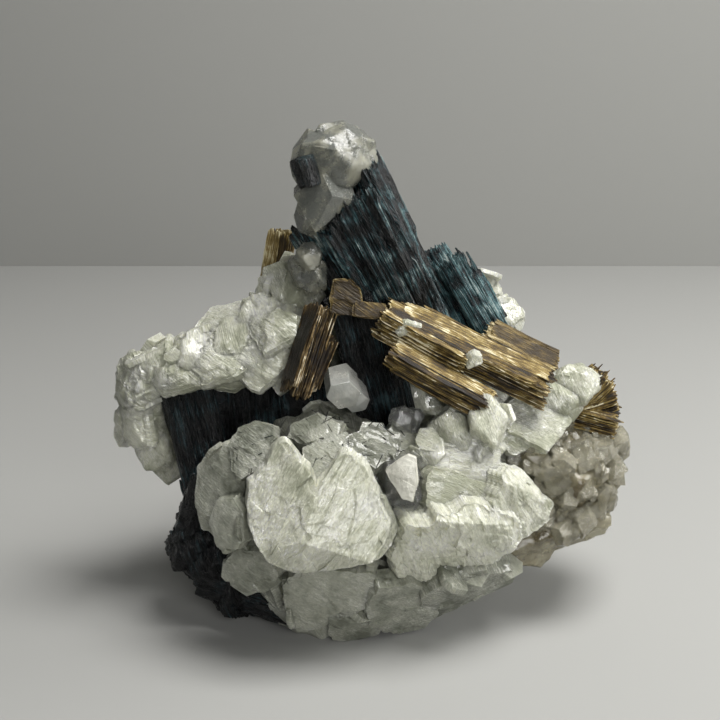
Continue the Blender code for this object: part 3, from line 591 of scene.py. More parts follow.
def add_splinters(pile, sheaf, count, seed):
    """Thin five-sided slivers laid along a sheaf's surface, each a short tapered rod."""
    dice = np.random.default_rng(seed)
    rows, columns = sheaf["reach"].shape
    for i in range(count):
        where = dice.uniform(0.0, 1.0) * math.tau
        at = dice.uniform(0.02, 0.9)
        column = int(where / math.tau * columns) % columns
        reach = sheaf["reach"][int(at * (rows - 1)), column] * dice.uniform(0.95, 1.0)
        long = min(dice.uniform(*SPLINTER_LENGTH), 2 * (0.97 - at) * sheaf["length"])
        wide = dice.uniform(*SPLINTER_THICK)
        middle = sheaf["middle"] * (sheaf["spread"] + (1 - sheaf["spread"]) * at)
        flat = np.array((math.cos(where), math.sin(where))) * reach + middle
        start = (sheaf["foot"] + sheaf["along"] * (at * sheaf["length"] - long / 2)
                 + sheaf["across"] * flat[0] + sheaf["deep"] * flat[1])
        turn = math.tau * (np.arange(5) + dice.uniform(0, 1)) / 5
        ring = (np.cos(turn)[:, None] * sheaf["across"] + np.sin(turn)[:, None] * sheaf["deep"])
        lean = sheaf["across"] * dice.uniform(-0.02, 0.02) + sheaf["deep"] * dice.uniform(-0.02, 0.02)
        way = unit(sheaf["along"] + lean)
        station = np.array((0.0, 0.5, 1.0))[:, None]
        grid = start + station[..., None] * long * way
        grid = grid + ring[None] * (np.array((0.5, 1.0, 0.6)) * wide)[:, None, None]
        grain = np.stack(np.broadcast_arrays(turn * wide + 9 * where, station * long), -1)
        poles = np.stack((start - 0.1 * wide * way, start + (long + 0.3 * wide) * way))
        pile.add(poles, grid, grain, dice.uniform(0, 1))


# %% [markdown]
# ### Prisms and points
#
# A single rod is few-sided and long. Its distance function is the same as a lump's, with directions
# stretched along its axis so that its corners get enough points. A quartz point has a handful of
# flat faces and sharp edges, so its corners are worked out exactly, where three of its planes meet.


# %% Prisms and points
CRISP = 60.0
ROD_FLAKE = 1.4
BLOCK_FACES = 12


def add_planes(pile, centre, axes, sizes, normals, distances, seed, rows=24, columns=36, relief=0.02,
               tilt=0.0):
    """A crystal bounded by planes, with directions stretched by sizes along axes."""
    grown(pile, centre, normals, distances)
    ball = globe(rows, columns) * np.array(sizes)
    spread = ball @ np.array(axes)
    length = np.linalg.norm(spread, axis=-1, keepdims=True)
    reach = soft_distance(spread / length, normals, distances, CRISP)
    body = spread / length * reach[..., None]
    bumps = relief * rough(body * 1.1 + seed, 3, seed)
    if tilt:
        bumps += ROD_FLAKE * tilt * flakes(body / ROD_FLAKE + 9.3 * seed, seed)
    body = body * (1 + bumps[..., None] / reach[..., None])
    ends = np.array((axes[2], -np.array(axes[2])))
    ends = ends * soft_distance(ends, normals, distances, CRISP)[:, None]
    grain = np.stack((body @ axes[0] + 0.5 * (body @ axes[1]), body @ axes[2]), -1)
    share = np.sort(np.clip(spread / length @ normals.T, 0, None) / distances, axis=-1)
    edge = np.clip(1 - (1 - share[..., -2] / share[..., -1]) * 12, 0, 1)
    pile.add(ends + centre, body + centre, grain, own_number(seed), edge)


def add_quartz(pile, foot, tip, radius, seed=0, point=0.9):
    """A six-sided prism with a six-sided pyramid on its tip, flat faced and sharp."""
    dice = random.Random(seed)
    foot, tip = np.array(foot, float), np.array(tip, float)
    along = unit(tip - foot)
    across, other = square_to(along)
    half = np.linalg.norm(tip - foot) / 2
    normals, distances = [-along], [half]
    for i in range(6):
        angle = math.tau * (i + dice.uniform(-0.04, 0.04)) / 6 + seed
        side = across * math.cos(angle) + other * math.sin(angle)
        normals.append(side)
        distances.append(radius * dice.uniform(0.86, 1.0))
        slope = unit(side * point + along * dice.uniform(0.85, 1.25))
        normals.append(slope)
        distances.append(half * slope @ along * dice.uniform(0.94, 1.0))
    grown(pile, (foot + tip) / 2, normals, distances)
    add_facets(pile, (foot + tip) / 2, normals, distances, along, across, own_number(seed))


def add_block(pile, centre, radii, seed):
    """A broken crystal with flat faces and sharp edges, from the planes of lump_planes."""
    normals, distances = lump_planes(radii, seed, BLOCK_FACES)
    grown(pile, centre, normals, distances)
    across, along = square_to(normals[seed % BLOCK_FACES])
    add_facets(pile, np.array(centre), normals, distances, across, along, own_number(seed))


def add_prism(pile, foot, tip, radius, seed, sides=7, slant=0.25, **more):
    """A rod with an uneven many-sided section and slanted ends."""
    dice = random.Random(seed)
    foot, tip = np.array(foot, float), np.array(tip, float)
    along = unit(tip - foot)
    across, other = square_to(along)
    half = np.linalg.norm(tip - foot) / 2
    normals, distances = [], []
    for i in range(sides):
        angle = math.tau * (i + dice.uniform(-0.25, 0.25)) / sides
        normals.append(across * math.cos(angle) + other * math.sin(angle))
        distances.append(radius * dice.uniform(0.84, 1.0))
    for end in (along, -along):
        lean = across * dice.uniform(-slant, slant) + other * dice.uniform(-slant, slant)
        normals.append(unit(end + lean))
        distances.append(half)
    add_planes(pile, (foot + tip) / 2, (across, other, along), (radius, radius, half),
               np.array(normals), np.array(distances), seed, **more)


# %% [markdown]
# ### Small crystals on large ones
#
# Between the blades the real cluster is crowded with crystals a millimetre or two across. Placing
# them by hand would take days. They are scattered over the surfaces of the large ones instead, and
# each place is tested so that none lands deep inside another crystal. They are many, so each has
# only about ten faces before its edges are bevelled.


# %% Scattering
CLEAR_OF_FLOOR = 4.0
ALL_BUT_FLAT = 200.0
CHIP_SIDES = 6
GRAIN_FACES = 11


def spots(hosts, per_square, dice, bury):
    """Places on the hosts and the ways that they face: random directions from each host's centre
    carried out to its surface, left out where they are deeper than bury inside any crystal, or
    lower than CLEAR_OF_FLOOR."""
    places, ways = [], []
    for centre, normals, distances in hosts:
        count = int(4 * math.pi * np.mean(distances) ** 2 * per_square)
        way = dice.normal(size=(max(count, 1), 3))
        way /= np.linalg.norm(way, axis=1, keepdims=True)
        point = centre + way * soft_distance(way, normals, distances, ALL_BUT_FLAT)[:, None]
        free = (depth_in(point, GROWN) < bury) & (point[:, 2] > CLEAR_OF_FLOOR)
        places.append(point[free])
        ways.append(normals[((way @ normals.T) / distances).argmax(axis=1)][free])
    return np.concatenate(places), np.concatenate(ways)


def add_chip(pile, centre, out, across, along, thick, dice):
    """A small flat blade that faces out: two faces, and sides at uneven angles and slants."""
    out = unit(out)
    right, up = square_to(out)
    angles = math.tau * (np.arange(CHIP_SIDES) + dice.uniform(-0.28, 0.28, CHIP_SIDES)) / CHIP_SIDES
    reach = across * along / np.hypot(along * np.cos(angles), across * np.sin(angles))
    turn = dice.uniform(0, math.tau)
    flat = right * np.cos(angles + turn)[:, None] + up * np.sin(angles + turn)[:, None]
    flat = flat + out * dice.uniform(-0.3, 0.3, (CHIP_SIDES, 1))
    normals = np.concatenate(([out, -out], flat / np.linalg.norm(flat, axis=1, keepdims=True)))
    distances = np.concatenate(([thick / 2] * 2, reach * dice.uniform(0.8, 1.05, CHIP_SIDES)))
    add_facets(pile, centre, normals, distances, right, up, dice.uniform(0, 1), 0.3)


def add_grain(pile, centre, out, radius, dice):
    """A small blocky crystal, a little longer along out."""
    out, number = unit(out), np.arange(GRAIN_FACES)
    turn = GOLDEN_ANGLE * number + dice.uniform(-0.4, 0.4, GRAIN_FACES)
    height = 1 - 2 * (number + 0.5) / GRAIN_FACES
    ring = np.sqrt(1 - height * height)
    right, up = square_to(out)
    normals = (ring * np.cos(turn))[:, None] * right + (ring * np.sin(turn))[:, None] * up
    normals = normals + height[:, None] * out
    distances = radius * dice.uniform(0.78, 1.0, GRAIN_FACES) * (1 + 0.35 * np.abs(height))
    add_facets(pile, centre, normals, distances, right, up, dice.uniform(0, 1))


# %% [markdown]
# ### Mica books
#
# Mica splits into sheets thinner than paper, and a broken book shows hundreds of them on edge. Each
# sheet is a closed plate a fraction of a millimetre thick. Its length, its side edges and its tilt
# differ a little from those of its neighbours, and that is what makes the golden stripes.


# %% Mica books
STRIPS = 4
STRIP_COLUMNS = 56
BOOK_WAVE = 0.22
BOOK_JAG = 0.7
NARROWEST = 0.2
LOST = 0.08


def add_book(pile, start, end, stack, width, thick, sheets, seed, ragged=0.16):
    """A pile of sheets along stack, each torn lengthwise into strips. A strip's outline is a soft
    rectangle with jagged ends, and it is bent by slow noise that all the sheets share. Strips that
    are too narrow and a LOST share of the others are left out."""
    dice = np.random.default_rng(seed)
    start, end = np.array(start, float), np.array(end, float)
    along = unit(end - start)
    normal = unit(np.array(stack) - along * (np.array(stack) @ along))
    side = np.cross(along, normal)
    length = np.linalg.norm(end - start)
    grown(pile, (start + end) / 2, [along, -along, side, -side, normal, -normal],
          [length / 2, length / 2, width / 2, width / 2, thick / 2, thick / 2])
    turn = math.tau * (np.arange(STRIP_COLUMNS) + 0.5) / STRIP_COLUMNS
    blunt = (np.abs(np.cos(turn)) ** 14 + np.abs(np.sin(turn)) ** 14) ** (-1 / 14)
    share_out = np.array((0.4, 0.8, 0.97, 1.0, 1.0, 0.9, 0.45))
    front = np.array((1, 1, 1, 0.6, -0.6, -1, -1.0))
    for i in range(sheets):
        level = ((i + 0.5) / sheets - 0.5) * thick
        halves = width / 2 * dice.uniform(1 - 1.1 * ragged, 1, 2)
        inner = np.sort(dice.uniform(-halves[0], halves[1], STRIPS - 1))
        tears = np.concatenate(([-halves[0]], inner, [halves[1]]))
        for left, right in zip(tears[:-1], tears[1:]):
            if right - left < NARROWEST or dice.uniform() < LOST:
                continue
            ends = length / 2 * dice.uniform(1 - 1.5 * ragged, 1, 2)
            middle, half = (ends[1] - ends[0]) / 2, (ends[1] + ends[0]) / 2
            x, y = blunt * np.cos(turn) * half, blunt * np.sin(turn) * (right - left) / 2 * 0.98
            nick = rough(np.stack((0.4 * x, y * 2.2, 0 * x + i * 3.1 + left), -1), 2, seed)
            x = x + BOOK_JAG * nick * np.sign(np.cos(turn)) * np.abs(np.cos(turn)) ** 6 + middle
            y = y + 0.10 * rough(np.stack((0.8 * x, 0 * x, 0 * x + i + left), -1), 2, seed) * np.sign(y)
            lean = dice.normal(0, 0.012)
            centre_line = (left + right) / 2
            y = y + centre_line + lean * x
            x = middle + share_out[:, None] * (x - middle)
            y = centre_line + share_out[:, None] * (y - centre_line)
            leaf = thick / sheets * dice.uniform(0.4, 0.95)
            place = np.stack((x * 0.16, y * 0.3, 0 * x + 0.13 * i), -1)
            bend = BOOK_WAVE * rough(place, 2, seed)
            height = level + bend + dice.normal(0, 0.02) + front[:, None] * leaf / 2
            grid = (start + end) / 2 + x[..., None] * along + y[..., None] * side + height[..., None] * normal
            poles = np.stack((grid[0].mean(axis=0), grid[-1].mean(axis=0)))
            grain = np.stack((y + 2.3 * i, x), -1)
            # The mica material lightens the rims marked here, a painted highlight.
            edge = np.clip((share_out[:, None] - 0.8) * 5, 0, 1) + 0 * x
            pile.add(poles, grid, grain, dice.uniform(0, 1), edge)


print("habits: lump, blade, sheaf, prism, quartz point, book")

# %% [markdown]
# ## Materials
#
# Two effects are shared. One is cloudiness, an uneven tone some millimetres wide, and every mineral
# has it. The other is the grain, fine lines that follow each crystal's own length, and all but the
# quartz have it. Both could be copied into each material, but a node group is built once and placed
# with other values. The clouds read the place in the object, and the lines read the mesh's grain.


# %% Shader helpers
def add_node(tree, kind, inputs=None, **settings):
    """A node with its settings and inputs filled in. An input is a number, a colour, or the output
    of another node."""
    made = tree.nodes.new(kind)
    for name, value in settings.items():
        setattr(made, name, value)
    for name, value in (inputs or {}).items():
        if isinstance(value, bpy.types.NodeSocket):
            tree.links.new(value, made.inputs[name])
        else:
            made.inputs[name].default_value = value
    return made


def reckon(tree, operation, first, second=0.0, third=0.0):
    """The output of a Math node."""
    return add_node(tree, "ShaderNodeMath", {0: first, 1: second, 2: third}, operation=operation).outputs[0]


def mix(tree, share, first, second):
    """Two colours mixed by a share from 0 to 1."""
    inputs = {0: share, 6: first, 7: second}
    return add_node(tree, "ShaderNodeMix", inputs, data_type="RGBA").outputs[2]


def push(tree, value, strength, tone):
    """tone + strength x (value - 0.5), which leaves the tone alone where the value is average."""
    return reckon(tree, "MULTIPLY_ADD", reckon(tree, "SUBTRACT", value, 0.5), strength, tone)


def ramp(tree, value, stops):
    """A colour for each value. Stops are (position, colour)."""
    made = add_node(tree, "ShaderNodeValToRGB", {"Fac": value})
    band = made.color_ramp
    for extra, (place, colour) in enumerate(stops):
        stop = band.elements[extra] if extra < 2 else band.elements.new(place)
        stop.position = place
        stop.color = (*colour, 1.0)
    return made.outputs["Color"]


def new_group(name, inputs, outputs):
    """A node group with named number inputs and outputs."""
    group = bpy.data.node_groups.new(name, "ShaderNodeTree")
    for label, value in inputs.items():
        socket = group.interface.new_socket(label, in_out="INPUT", socket_type="NodeSocketFloat")
        socket.default_value = value
    for label in outputs:
        group.interface.new_socket(label, in_out="OUTPUT", socket_type="NodeSocketFloat")
    return group, group.nodes.new("NodeGroupInput").outputs, group.nodes.new("NodeGroupOutput")


def place_group(tree, group, **values):
    """The outputs of a group placed in a material with its own values."""
    made = add_node(tree, "ShaderNodeGroup", node_tree=group)
    for label, value in values.items():
        made.inputs[label].default_value = value
    return made.outputs


clouds_group, given, result = new_group("mineral_clouds", {"Size": 5.0, "Seed": 0.0}, ("Clouds", "Fine"))
where = add_node(clouds_group, "ShaderNodeTexCoord").outputs["Object"]
scale = reckon(clouds_group, "DIVIDE", 1000.0, given["Size"])
for label, faster in (("Clouds", 1.0), ("Fine", 7.0)):
    texture = add_node(clouds_group, "ShaderNodeTexNoise", {
        "Vector": where, "W": given["Seed"], "Scale": reckon(clouds_group, "MULTIPLY", scale, faster),
        "Detail": 4.0, "Roughness": 0.62}, noise_dimensions="4D")
    clouds_group.links.new(texture.outputs["Fac"], result.inputs[label])
print("group", clouds_group.name)

# %% Grain group
grain_group, given, result = new_group(
    "crystal_grain", {"Width": 0.3, "Length": 4.0, "Warp": 0.4}, ("Lines", "Flecks", "Own"))
mark = add_node(grain_group, "ShaderNodeAttribute", attribute_name="grain").outputs["Vector"]
axes = add_node(grain_group, "ShaderNodeSeparateXYZ", {0: mark}).outputs
own = reckon(grain_group, "MULTIPLY", axes["Z"], 61.0)
for label, wider, longer, detail in (("Lines", 1.0, 1.0, 3.0), ("Flecks", 0.8, 0.4, 2.0)):
    stretched = add_node(grain_group, "ShaderNodeCombineXYZ", {
        "X": reckon(grain_group, "DIVIDE", reckon(grain_group, "DIVIDE", axes["X"], given["Width"]), wider),
        "Y": reckon(grain_group, "DIVIDE", reckon(grain_group, "DIVIDE", axes["Y"], given["Length"]), longer),
        "Z": own}).outputs[0]
    texture = add_node(grain_group, "ShaderNodeTexNoise", {
        "Vector": stretched, "Scale": 1.0, "Detail": detail, "Roughness": 0.6, "Distortion": given["Warp"]})
    grain_group.links.new(texture.outputs["Fac"], result.inputs[label])
grain_group.links.new(axes["Z"], result.inputs["Own"])
print("group", grain_group.name)

# %% [markdown]
# ### Albite
# Albite is a milky feldspar. Light enters it a millimetre or so before it comes out again, so its
# shadows are soft. That could be faked with a brighter colour, but subsurface scattering does it for
# every light. The blades are satin white and grey-green. The white flecks in their colour are painted
# glints. The darker grey copy of the material is partly the blades' own grey-green and partly painted
# shade on blades that face away from the light, hang low or fill the gaps. That could be faked with a
# brighter colour, but subsurface scattering does it for
# every light. The blades are satin white where the layers catch the light and grey-green between.


# %% Albite material
def new_material(name, roughness=0.5, **fixed):
    """A material, its node tree, its shader, and its fixed values set on the shader itself."""
    material = bpy.data.materials.new(name)
    material.use_nodes = True
    tree = material.node_tree
    shader = tree.nodes["Principled BSDF"]
    shader.inputs["Roughness"].default_value = roughness
    for label, value in fixed.items():
        shader.inputs[label.replace("_", " ")].default_value = value
    return material, tree, shader


def add_bump(tree, shader, height, depth):
    """Relief from a height that is 1 at depth metres."""
    bump = add_node(tree, "ShaderNodeBump", {"Height": height, "Distance": depth, "Strength": 1.0})
    tree.links.new(bump.outputs["Normal"], shader.inputs["Normal"])


def albite_material(name, dull, bright, through, line_share, glint):
    """Grey-green to white by clouds and grain lines, with white flecks where the clouds are thick:
    painted glints, which are also smoother and raised. Each crystal's own number shifts its tone."""
    material, tree, shader = new_material(
        name, IOR=1.53, Subsurface_Weight=0.4, Subsurface_Scale=0.0014,
        Subsurface_Radius=(1.0, 0.98, 0.84), Coat_Weight=0.6, Coat_Roughness=0.09,
        Transmission_Weight=through)
    clouds = place_group(tree, clouds_group, Size=4.6, Seed=1.0)
    grain = place_group(tree, grain_group, Width=0.21, Length=1.5, Warp=0.9)
    tone = push(tree, clouds["Clouds"], 2.2, 0.42)
    tone = push(tree, grain["Lines"], line_share, tone)
    tone = push(tree, grain["Own"], 0.5, tone)
    tone = push(tree, clouds["Fine"], 0.6, tone)
    middle = tuple(0.5 * a + 0.5 * b for a, b in zip(dull, bright))
    colour = ramp(tree, tone, [(0.10, dull), (0.88, bright), (0.46, middle)])
    # Painted glints: flecks of near-white colour where the clouds are thick.
    where = add_node(tree, "ShaderNodeMapRange", {
        "Value": clouds["Clouds"], "From Min": 0.43, "From Max": 0.56, "To Max": glint}).outputs[0]
    painted_glint = add_node(tree, "ShaderNodeMapRange", {
        "Value": grain["Flecks"], "From Min": 0.50, "From Max": 0.58}).outputs[0]
    painted_glint = reckon(tree, "MULTIPLY", painted_glint, where)
    tree.links.new(mix(tree, painted_glint, colour, (1.0, 0.99, 0.90, 1.0)), shader.inputs["Base Color"])
    tree.links.new(reckon(tree, "MULTIPLY_ADD", painted_glint, -0.26, 0.46), shader.inputs["Roughness"])
    height = reckon(tree, "MULTIPLY_ADD", grain["Lines"], 1.0, reckon(tree, "MULTIPLY", clouds["Fine"], 0.5))
    add_bump(tree, shader, reckon(tree, "MULTIPLY_ADD", painted_glint, 1.0, height), 0.0004)
    return material


# Two copies of one albite. The grey one is darker: partly the blades' own grey-green, partly painted shade
# for blades that face away from the light, hang low or fill the gaps.
ALBITE_WHITE = albite_material("albite_white", (0.38, 0.39, 0.29), (0.93, 0.93, 0.775), 0.10, 0.9, 1.0)
ALBITE_GREY_SHADE = albite_material("albite_grey_shade", (0.19, 0.20, 0.15), (0.62, 0.63, 0.52), 0.26, 0.55, 0.5)
print("albite materials:", ALBITE_WHITE.name, ALBITE_GREY_SHADE.name)

# %% [markdown]
# ### Tourmaline
#
# Tourmaline of this kind is nearly black, and a thin edge shows blue-green. Its grooves catch the
# light as bright threads. A metal could imitate the glint, but it is a glassy mineral, so the base is
# near black, the gloss is that of glass, and the teal and pale threads follow the grain. The pale
# threads are painted highlights in the colour, for the light that the grooves catch.

# %% Tourmaline material
def tourmaline_material(name, stops, contrast, width, length=9.0):
    """A tone by the grain's lines, raised where the clouds are. Contrast spreads the lines."""
    material, tree, shader = new_material(name, IOR=1.64, Specular_IOR_Level=0.32)
    clouds = place_group(tree, clouds_group, Size=3.0, Seed=4.0)
    grain = place_group(tree, grain_group, Width=width, Length=length, Warp=0.2)
    tone = push(tree, grain["Own"], 0.16, 0.44)
    tone = push(tree, grain["Lines"], contrast, tone)
    tone = push(tree, clouds["Clouds"], 2.3, tone)
    tree.links.new(ramp(tree, tone, stops), shader.inputs["Base Color"])
    tree.links.new(reckon(tree, "MULTIPLY_ADD", grain["Flecks"], 0.8, -0.16), shader.inputs["Roughness"])
    add_bump(tree, shader, reckon(tree, "MULTIPLY_ADD", grain["Lines"], 1.0, clouds["Fine"]), 0.0005)
    return material


# The palest stops of each ramp are painted highlights along the grain, where the grooves catch the light.
TOURMALINE = tourmaline_material("tourmaline", [
    (0.34, (0.0008, 0.0012, 0.0014)), (0.50, (0.002, 0.005, 0.006)), (0.62, (0.006, 0.020, 0.025)),
    (0.74, (0.026, 0.070, 0.080)), (0.90, (0.10, 0.16, 0.16)), (1.0, (0.30, 0.34, 0.32))], 2.4, 0.10, 15.0)
TOURMALINE_TEAL = tourmaline_material("tourmaline_teal", [
    (0.18, (0.002, 0.003, 0.004)), (0.34, (0.014, 0.032, 0.037)), (0.50, (0.042, 0.10, 0.11)),
    (0.70, (0.13, 0.23, 0.24)), (0.90, (0.42, 0.48, 0.46))], 2.0, 0.12)
# A darker copy of the tourmaline, mostly for the crystals on the left, in the cavity and in the pocket:
# partly their own black, partly painted shade.
TOURMALINE_BLACK_SHADE = tourmaline_material("tourmaline_black_shade", [
    (0.30, (0.0004, 0.0006, 0.0009)), (0.54, (0.0010, 0.0018, 0.0024)), (0.72, (0.004, 0.010, 0.013)),
    (0.92, (0.035, 0.065, 0.072))], 2.2, 0.16)
print("tourmaline materials:", TOURMALINE.name, TOURMALINE_TEAL.name, TOURMALINE_BLACK_SHADE.name)

# %% [markdown]
# ### Mica
#
# Each sheet of a book has its own tone, and they run from dark brown to gold. One colour with a
# striped texture would slide over the sheets. The sheet's own number, which its mesh carries, sets
# its tone instead. Streaks along the sheet and slow clouds break that tone up, and the sheet's edges
# are paler, a painted highlight where they catch the light.


# %% Mica material
def mica_material(name, stops, shift=0.0):
    """A tone for each sheet from its own number, streaked along the sheet and paler at its edges, where the
    paler tone is a painted highlight.
    """
    material, tree, shader = new_material(name, IOR=1.58, Specular_IOR_Level=0.35)
    clouds = place_group(tree, clouds_group, Size=3.5, Seed=7.0)
    grain = place_group(tree, grain_group, Width=0.20, Length=2.4, Warp=0.5)
    tone = reckon(tree, "MULTIPLY_ADD", grain["Own"], 0.6, shift)
    tone = push(tree, grain["Lines"], 1.9, tone)
    tone = push(tree, clouds["Clouds"], 1.8, tone)
    edge = add_node(tree, "ShaderNodeAttribute", attribute_name="edge").outputs["Fac"]
    # Painted highlight: the tone is raised on the sheets' edges.
    tone = reckon(tree, "MULTIPLY_ADD", edge, 0.26, tone)
    tree.links.new(ramp(tree, tone, stops), shader.inputs["Base Color"])
    tree.links.new(reckon(tree, "MULTIPLY_ADD", grain["Flecks"], 0.5, 0.20), shader.inputs["Roughness"])
    add_bump(tree, shader, grain["Lines"], 0.0003)
    return material


MICA_GOLD = mica_material("mica_gold", shift=0.02, stops=[
    (0.10, (0.010, 0.006, 0.002)), (0.34, (0.042, 0.024, 0.005)), (0.54, (0.12, 0.076, 0.016)),
    (0.74, (0.27, 0.19, 0.055)), (0.88, (0.40, 0.32, 0.14)), (1.0, (0.78, 0.72, 0.52))])
MICA_DARK = mica_material("mica_dark", [
    (0.10, (0.008, 0.005, 0.003)), (0.38, (0.030, 0.018, 0.006)), (0.60, (0.095, 0.060, 0.018)),
    (0.80, (0.26, 0.18, 0.08)), (0.97, (0.66, 0.58, 0.42))])
MICA_PALE = mica_material("mica_pale", [
    (0.0, (0.030, 0.018, 0.004)), (0.30, (0.11, 0.072, 0.018)), (0.60, (0.26, 0.19, 0.065)),
    (0.95, (0.66, 0.59, 0.38))])
print("mica materials:", MICA_GOLD.name, MICA_DARK.name, MICA_PALE.name)

# %% [markdown]
# ### Quartz
#
# The quartz is clear in places and veiled in others. Plain glass would look like a drop of water, so
# the veils are part of the colour and of the roughness, which change over the surface, while the
# transmission stays one number. The smoky quartz is the same glass in brown, with less light let
# through.


# %% Quartz materials
def quartz_material(name, clear, veil, transmission, smooth, rough_veil, size=3.0, low=0.45, high=0.65):
    """Glass with veils: the colours clear and veil are mixed where the clouds go from low to high, and
    so are the roughnesses smooth and rough_veil."""
    material, tree, shader = new_material(name, IOR=1.544, Transmission_Weight=transmission)
    clouds = place_group(tree, clouds_group, Size=size, Seed=11.0)
    share = add_node(tree, "ShaderNodeMapRange", {
        "Value": clouds["Clouds"], "From Min": low, "From Max": high}).outputs[0]
    tree.links.new(mix(tree, share, (*clear, 1.0), (*veil, 1.0)), shader.inputs["Base Color"])
    roughness = reckon(tree, "MULTIPLY_ADD", share, rough_veil - smooth, smooth)
    tree.links.new(roughness, shader.inputs["Roughness"])
    add_bump(tree, shader, clouds["Fine"], 0.0001)
    return material


QUARTZ_CLEAR = quartz_material("quartz_clear", (0.93, 0.94, 0.93), (0.80, 0.80, 0.77), 0.92, 0.03, 0.25)
QUARTZ_MILKY = quartz_material("quartz_milky", (0.25, 0.26, 0.235), (0.54, 0.53, 0.42), 0.60, 0.16, 0.45)
QUARTZ_SMOKY = quartz_material("quartz_smoky", (0.20, 0.165, 0.095), (0.52, 0.485, 0.34), 0.55, 0.05, 0.28,
                               size=5.0, low=0.40, high=0.60)
QUARTZ_CRUST = quartz_material("quartz_crust", (0.70, 0.67, 0.54), (0.42, 0.39, 0.27), 0.74, 0.02, 0.18)
QUARTZ_PALE = quartz_material("quartz_pale", (0.62, 0.63, 0.59), (0.86, 0.85, 0.78), 0.40, 0.08, 0.3)
QUARTZ_FROSTED = quartz_material("quartz_frosted", (0.54, 0.53, 0.46), (0.80, 0.79, 0.70), 0.12, 0.22, 0.45)
print("quartz materials:", [material.name for material in bpy.data.materials if "quartz" in material.name])

# %% [markdown]
# ## Albite
#
# The albite is one growth, and it is shown as several pieces. The first is the heart that all the
# blades grow from. It is seen in the gaps between them, so it is made of large lumps with a coarse
# broken surface.

# %% Albite heart
heart = Pile()
HEART = [
    ((-3.0, -2.0, 15.0), (14.5, 14.0, 15.5), 301, 16), ((6.0, 10.0, 22.0), (17.0, 13.0, 17.0), 302, 18),
    ((14.0, -3.0, 18.6), (9.5, 11.0, 11.0), 303, 15), ((-12.0, 9.0, 33.0), (11.0, 7.5, 9.0), 304, 15),
    ((-21.5, 8.2, 29.0), (9.5, 5.4, 10.5), 305, 15), ((-12.0, 6.0, 12.0), (9.5, 9.5, 11.0), 306, 15),
    ((18.0, 7.0, 32.4), (9.5, 7.5, 8.0), 307, 15), ((-6.0, -7.0, 4.0), (9.5, 8.5, 6.5), 308, 13),
    ((8.0, -3.0, 5.0), (10.5, 9.5, 7.5), 309, 13), ((4.0, 10.0, 5.0), (12.5, 9.5, 8.0), 310, 13),
    ((2.0, 7.4, 40.0), (9.0, 5.6, 6.0), 311, 13),
]
for centre, radii, seed, faces in HEART:
    add_lump(heart, centre, radii, seed, faces, rows=52, columns=90, relief=0.3, grit=0.7, flake=2.4,
             tilt=0.2)
# The heart takes the darker grey albite: partly its own grey-green, partly painted shade for the gaps where
# it is seen.
show("albite_heart", heart, ALBITE_GREY_SHADE, "albite")

# %% [markdown]
# ### The rosette
#
# The thick blade in front has two lobes, and its front is made of a few broad faces that meet at low
# ridges. Smaller blades stand round it like petals. Their outlines are given as corners seen from
# straight in front.


# %% Albite rosette
def add_tablet(pile, centre, facing, corners, thick, seed, dents=False, **more):
    """A blade with the outline of the corners, given as (x, z) seen from straight in front. With
    dents, the outline goes in and out through every corner."""
    sides, middle = sides_of(corners, centre, facing)
    if dents:
        middle, more["ring"] = np.array(centre), laid_flat(corners, centre, facing)
    add_plate(pile, middle, facing, sides, thick, seed, **more)


LOBES = [
    (-15.6, 25.0), (-15.5, 26.8), (-13.4, 28.9), (-12.0, 31.5), (-10.8, 32.6), (-9.8, 32.4), (-8.3, 30.2),
    (-6.5, 28.7), (-6.2, 26.6), (-4.8, 28.0), (-2.7, 31.1), (-1.2, 31.2), (0.8, 29.3), (2.3, 26.2),
    (4.4, 21.2), (3.6, 18.6), (1.6, 16.2), (-4.0, 14.9), (-8.8, 14.4), (-12.8, 16.2), (-14.5, 19.2),
    (-15.6, 22.0)]
FRONT_FACES = (
    (0.22, -0.30, 0.9), (-0.17, -0.16, 0.10), (0.02, 0.40, 1.3), (0.02, 1.1, 5.2), (1.1, 0.1, 10.0),
    (-0.9, -0.1, 7.9), (0.5, 0.9, 7.2))
front = Pile()
add_tablet(front, (-5.5, -22.4, 20.8), (0, 11), LOBES, 5.6, 401, dents=True, rings=110, columns=560,
           relief=0.14, layers=11, terraces=0.8, ribs=0.4, ragged=0.016, grain_turn=-33, dome=0.3,
           flake=2.6, tilt=0.11, faces=FRONT_FACES)
add_tablet(front, (2.5, -20.8, 20.7), (26, 10), [
    (0.0, 25.7), (2.8, 25.0), (4.2, 22.0), (4.8, 20.0), (3.7, 17.4), (1.7, 15.8), (-1.1, 16.6)],
    3.2, 404, grain_turn=-30, rings=44, columns=160, terraces=1.0)
show("albite_front_blade", front, ALBITE_WHITE, "albite")

# %% Albite petals
medium = {"rings": 28, "columns": 102, "relief": 0.10, "terraces": 1.0, "ragged": 0.05, "dome": 0.3,
          "flake": 2.6, "tilt": 0.08}
petals = Pile()
add_tablet(petals, (-19.6, -14.6, 23.4), (-26, 12), [
    (-22.4, 26.8), (-19.6, 29.7), (-16.9, 30.6), (-15.0, 28.0), (-16.1, 19.0), (-19.7, 16.3),
    (-22.1, 17.6), (-23.1, 22.1)], 3.4, 411, **medium)
add_tablet(petals, (-14.9, -15.6, 29.1), (-14, 30), [
    (-18.3, 29.5), (-16.9, 32.0), (-14.4, 33.0), (-11.6, 32.6), (-12.0, 28.0), (-16.3, 25.4),
    (-17.7, 26.5)], 3.2, 412, **medium)
add_tablet(petals, (-17.9, -18.6, 19.9), (-26, 6), [
    (-20.9, 19.9), (-19.6, 23.1), (-17.0, 24.0), (-15.4, 22.0), (-15.3, 18.0), (-16.8, 16.3),
    (-19.5, 16.1)], 3.0, 413, **medium)
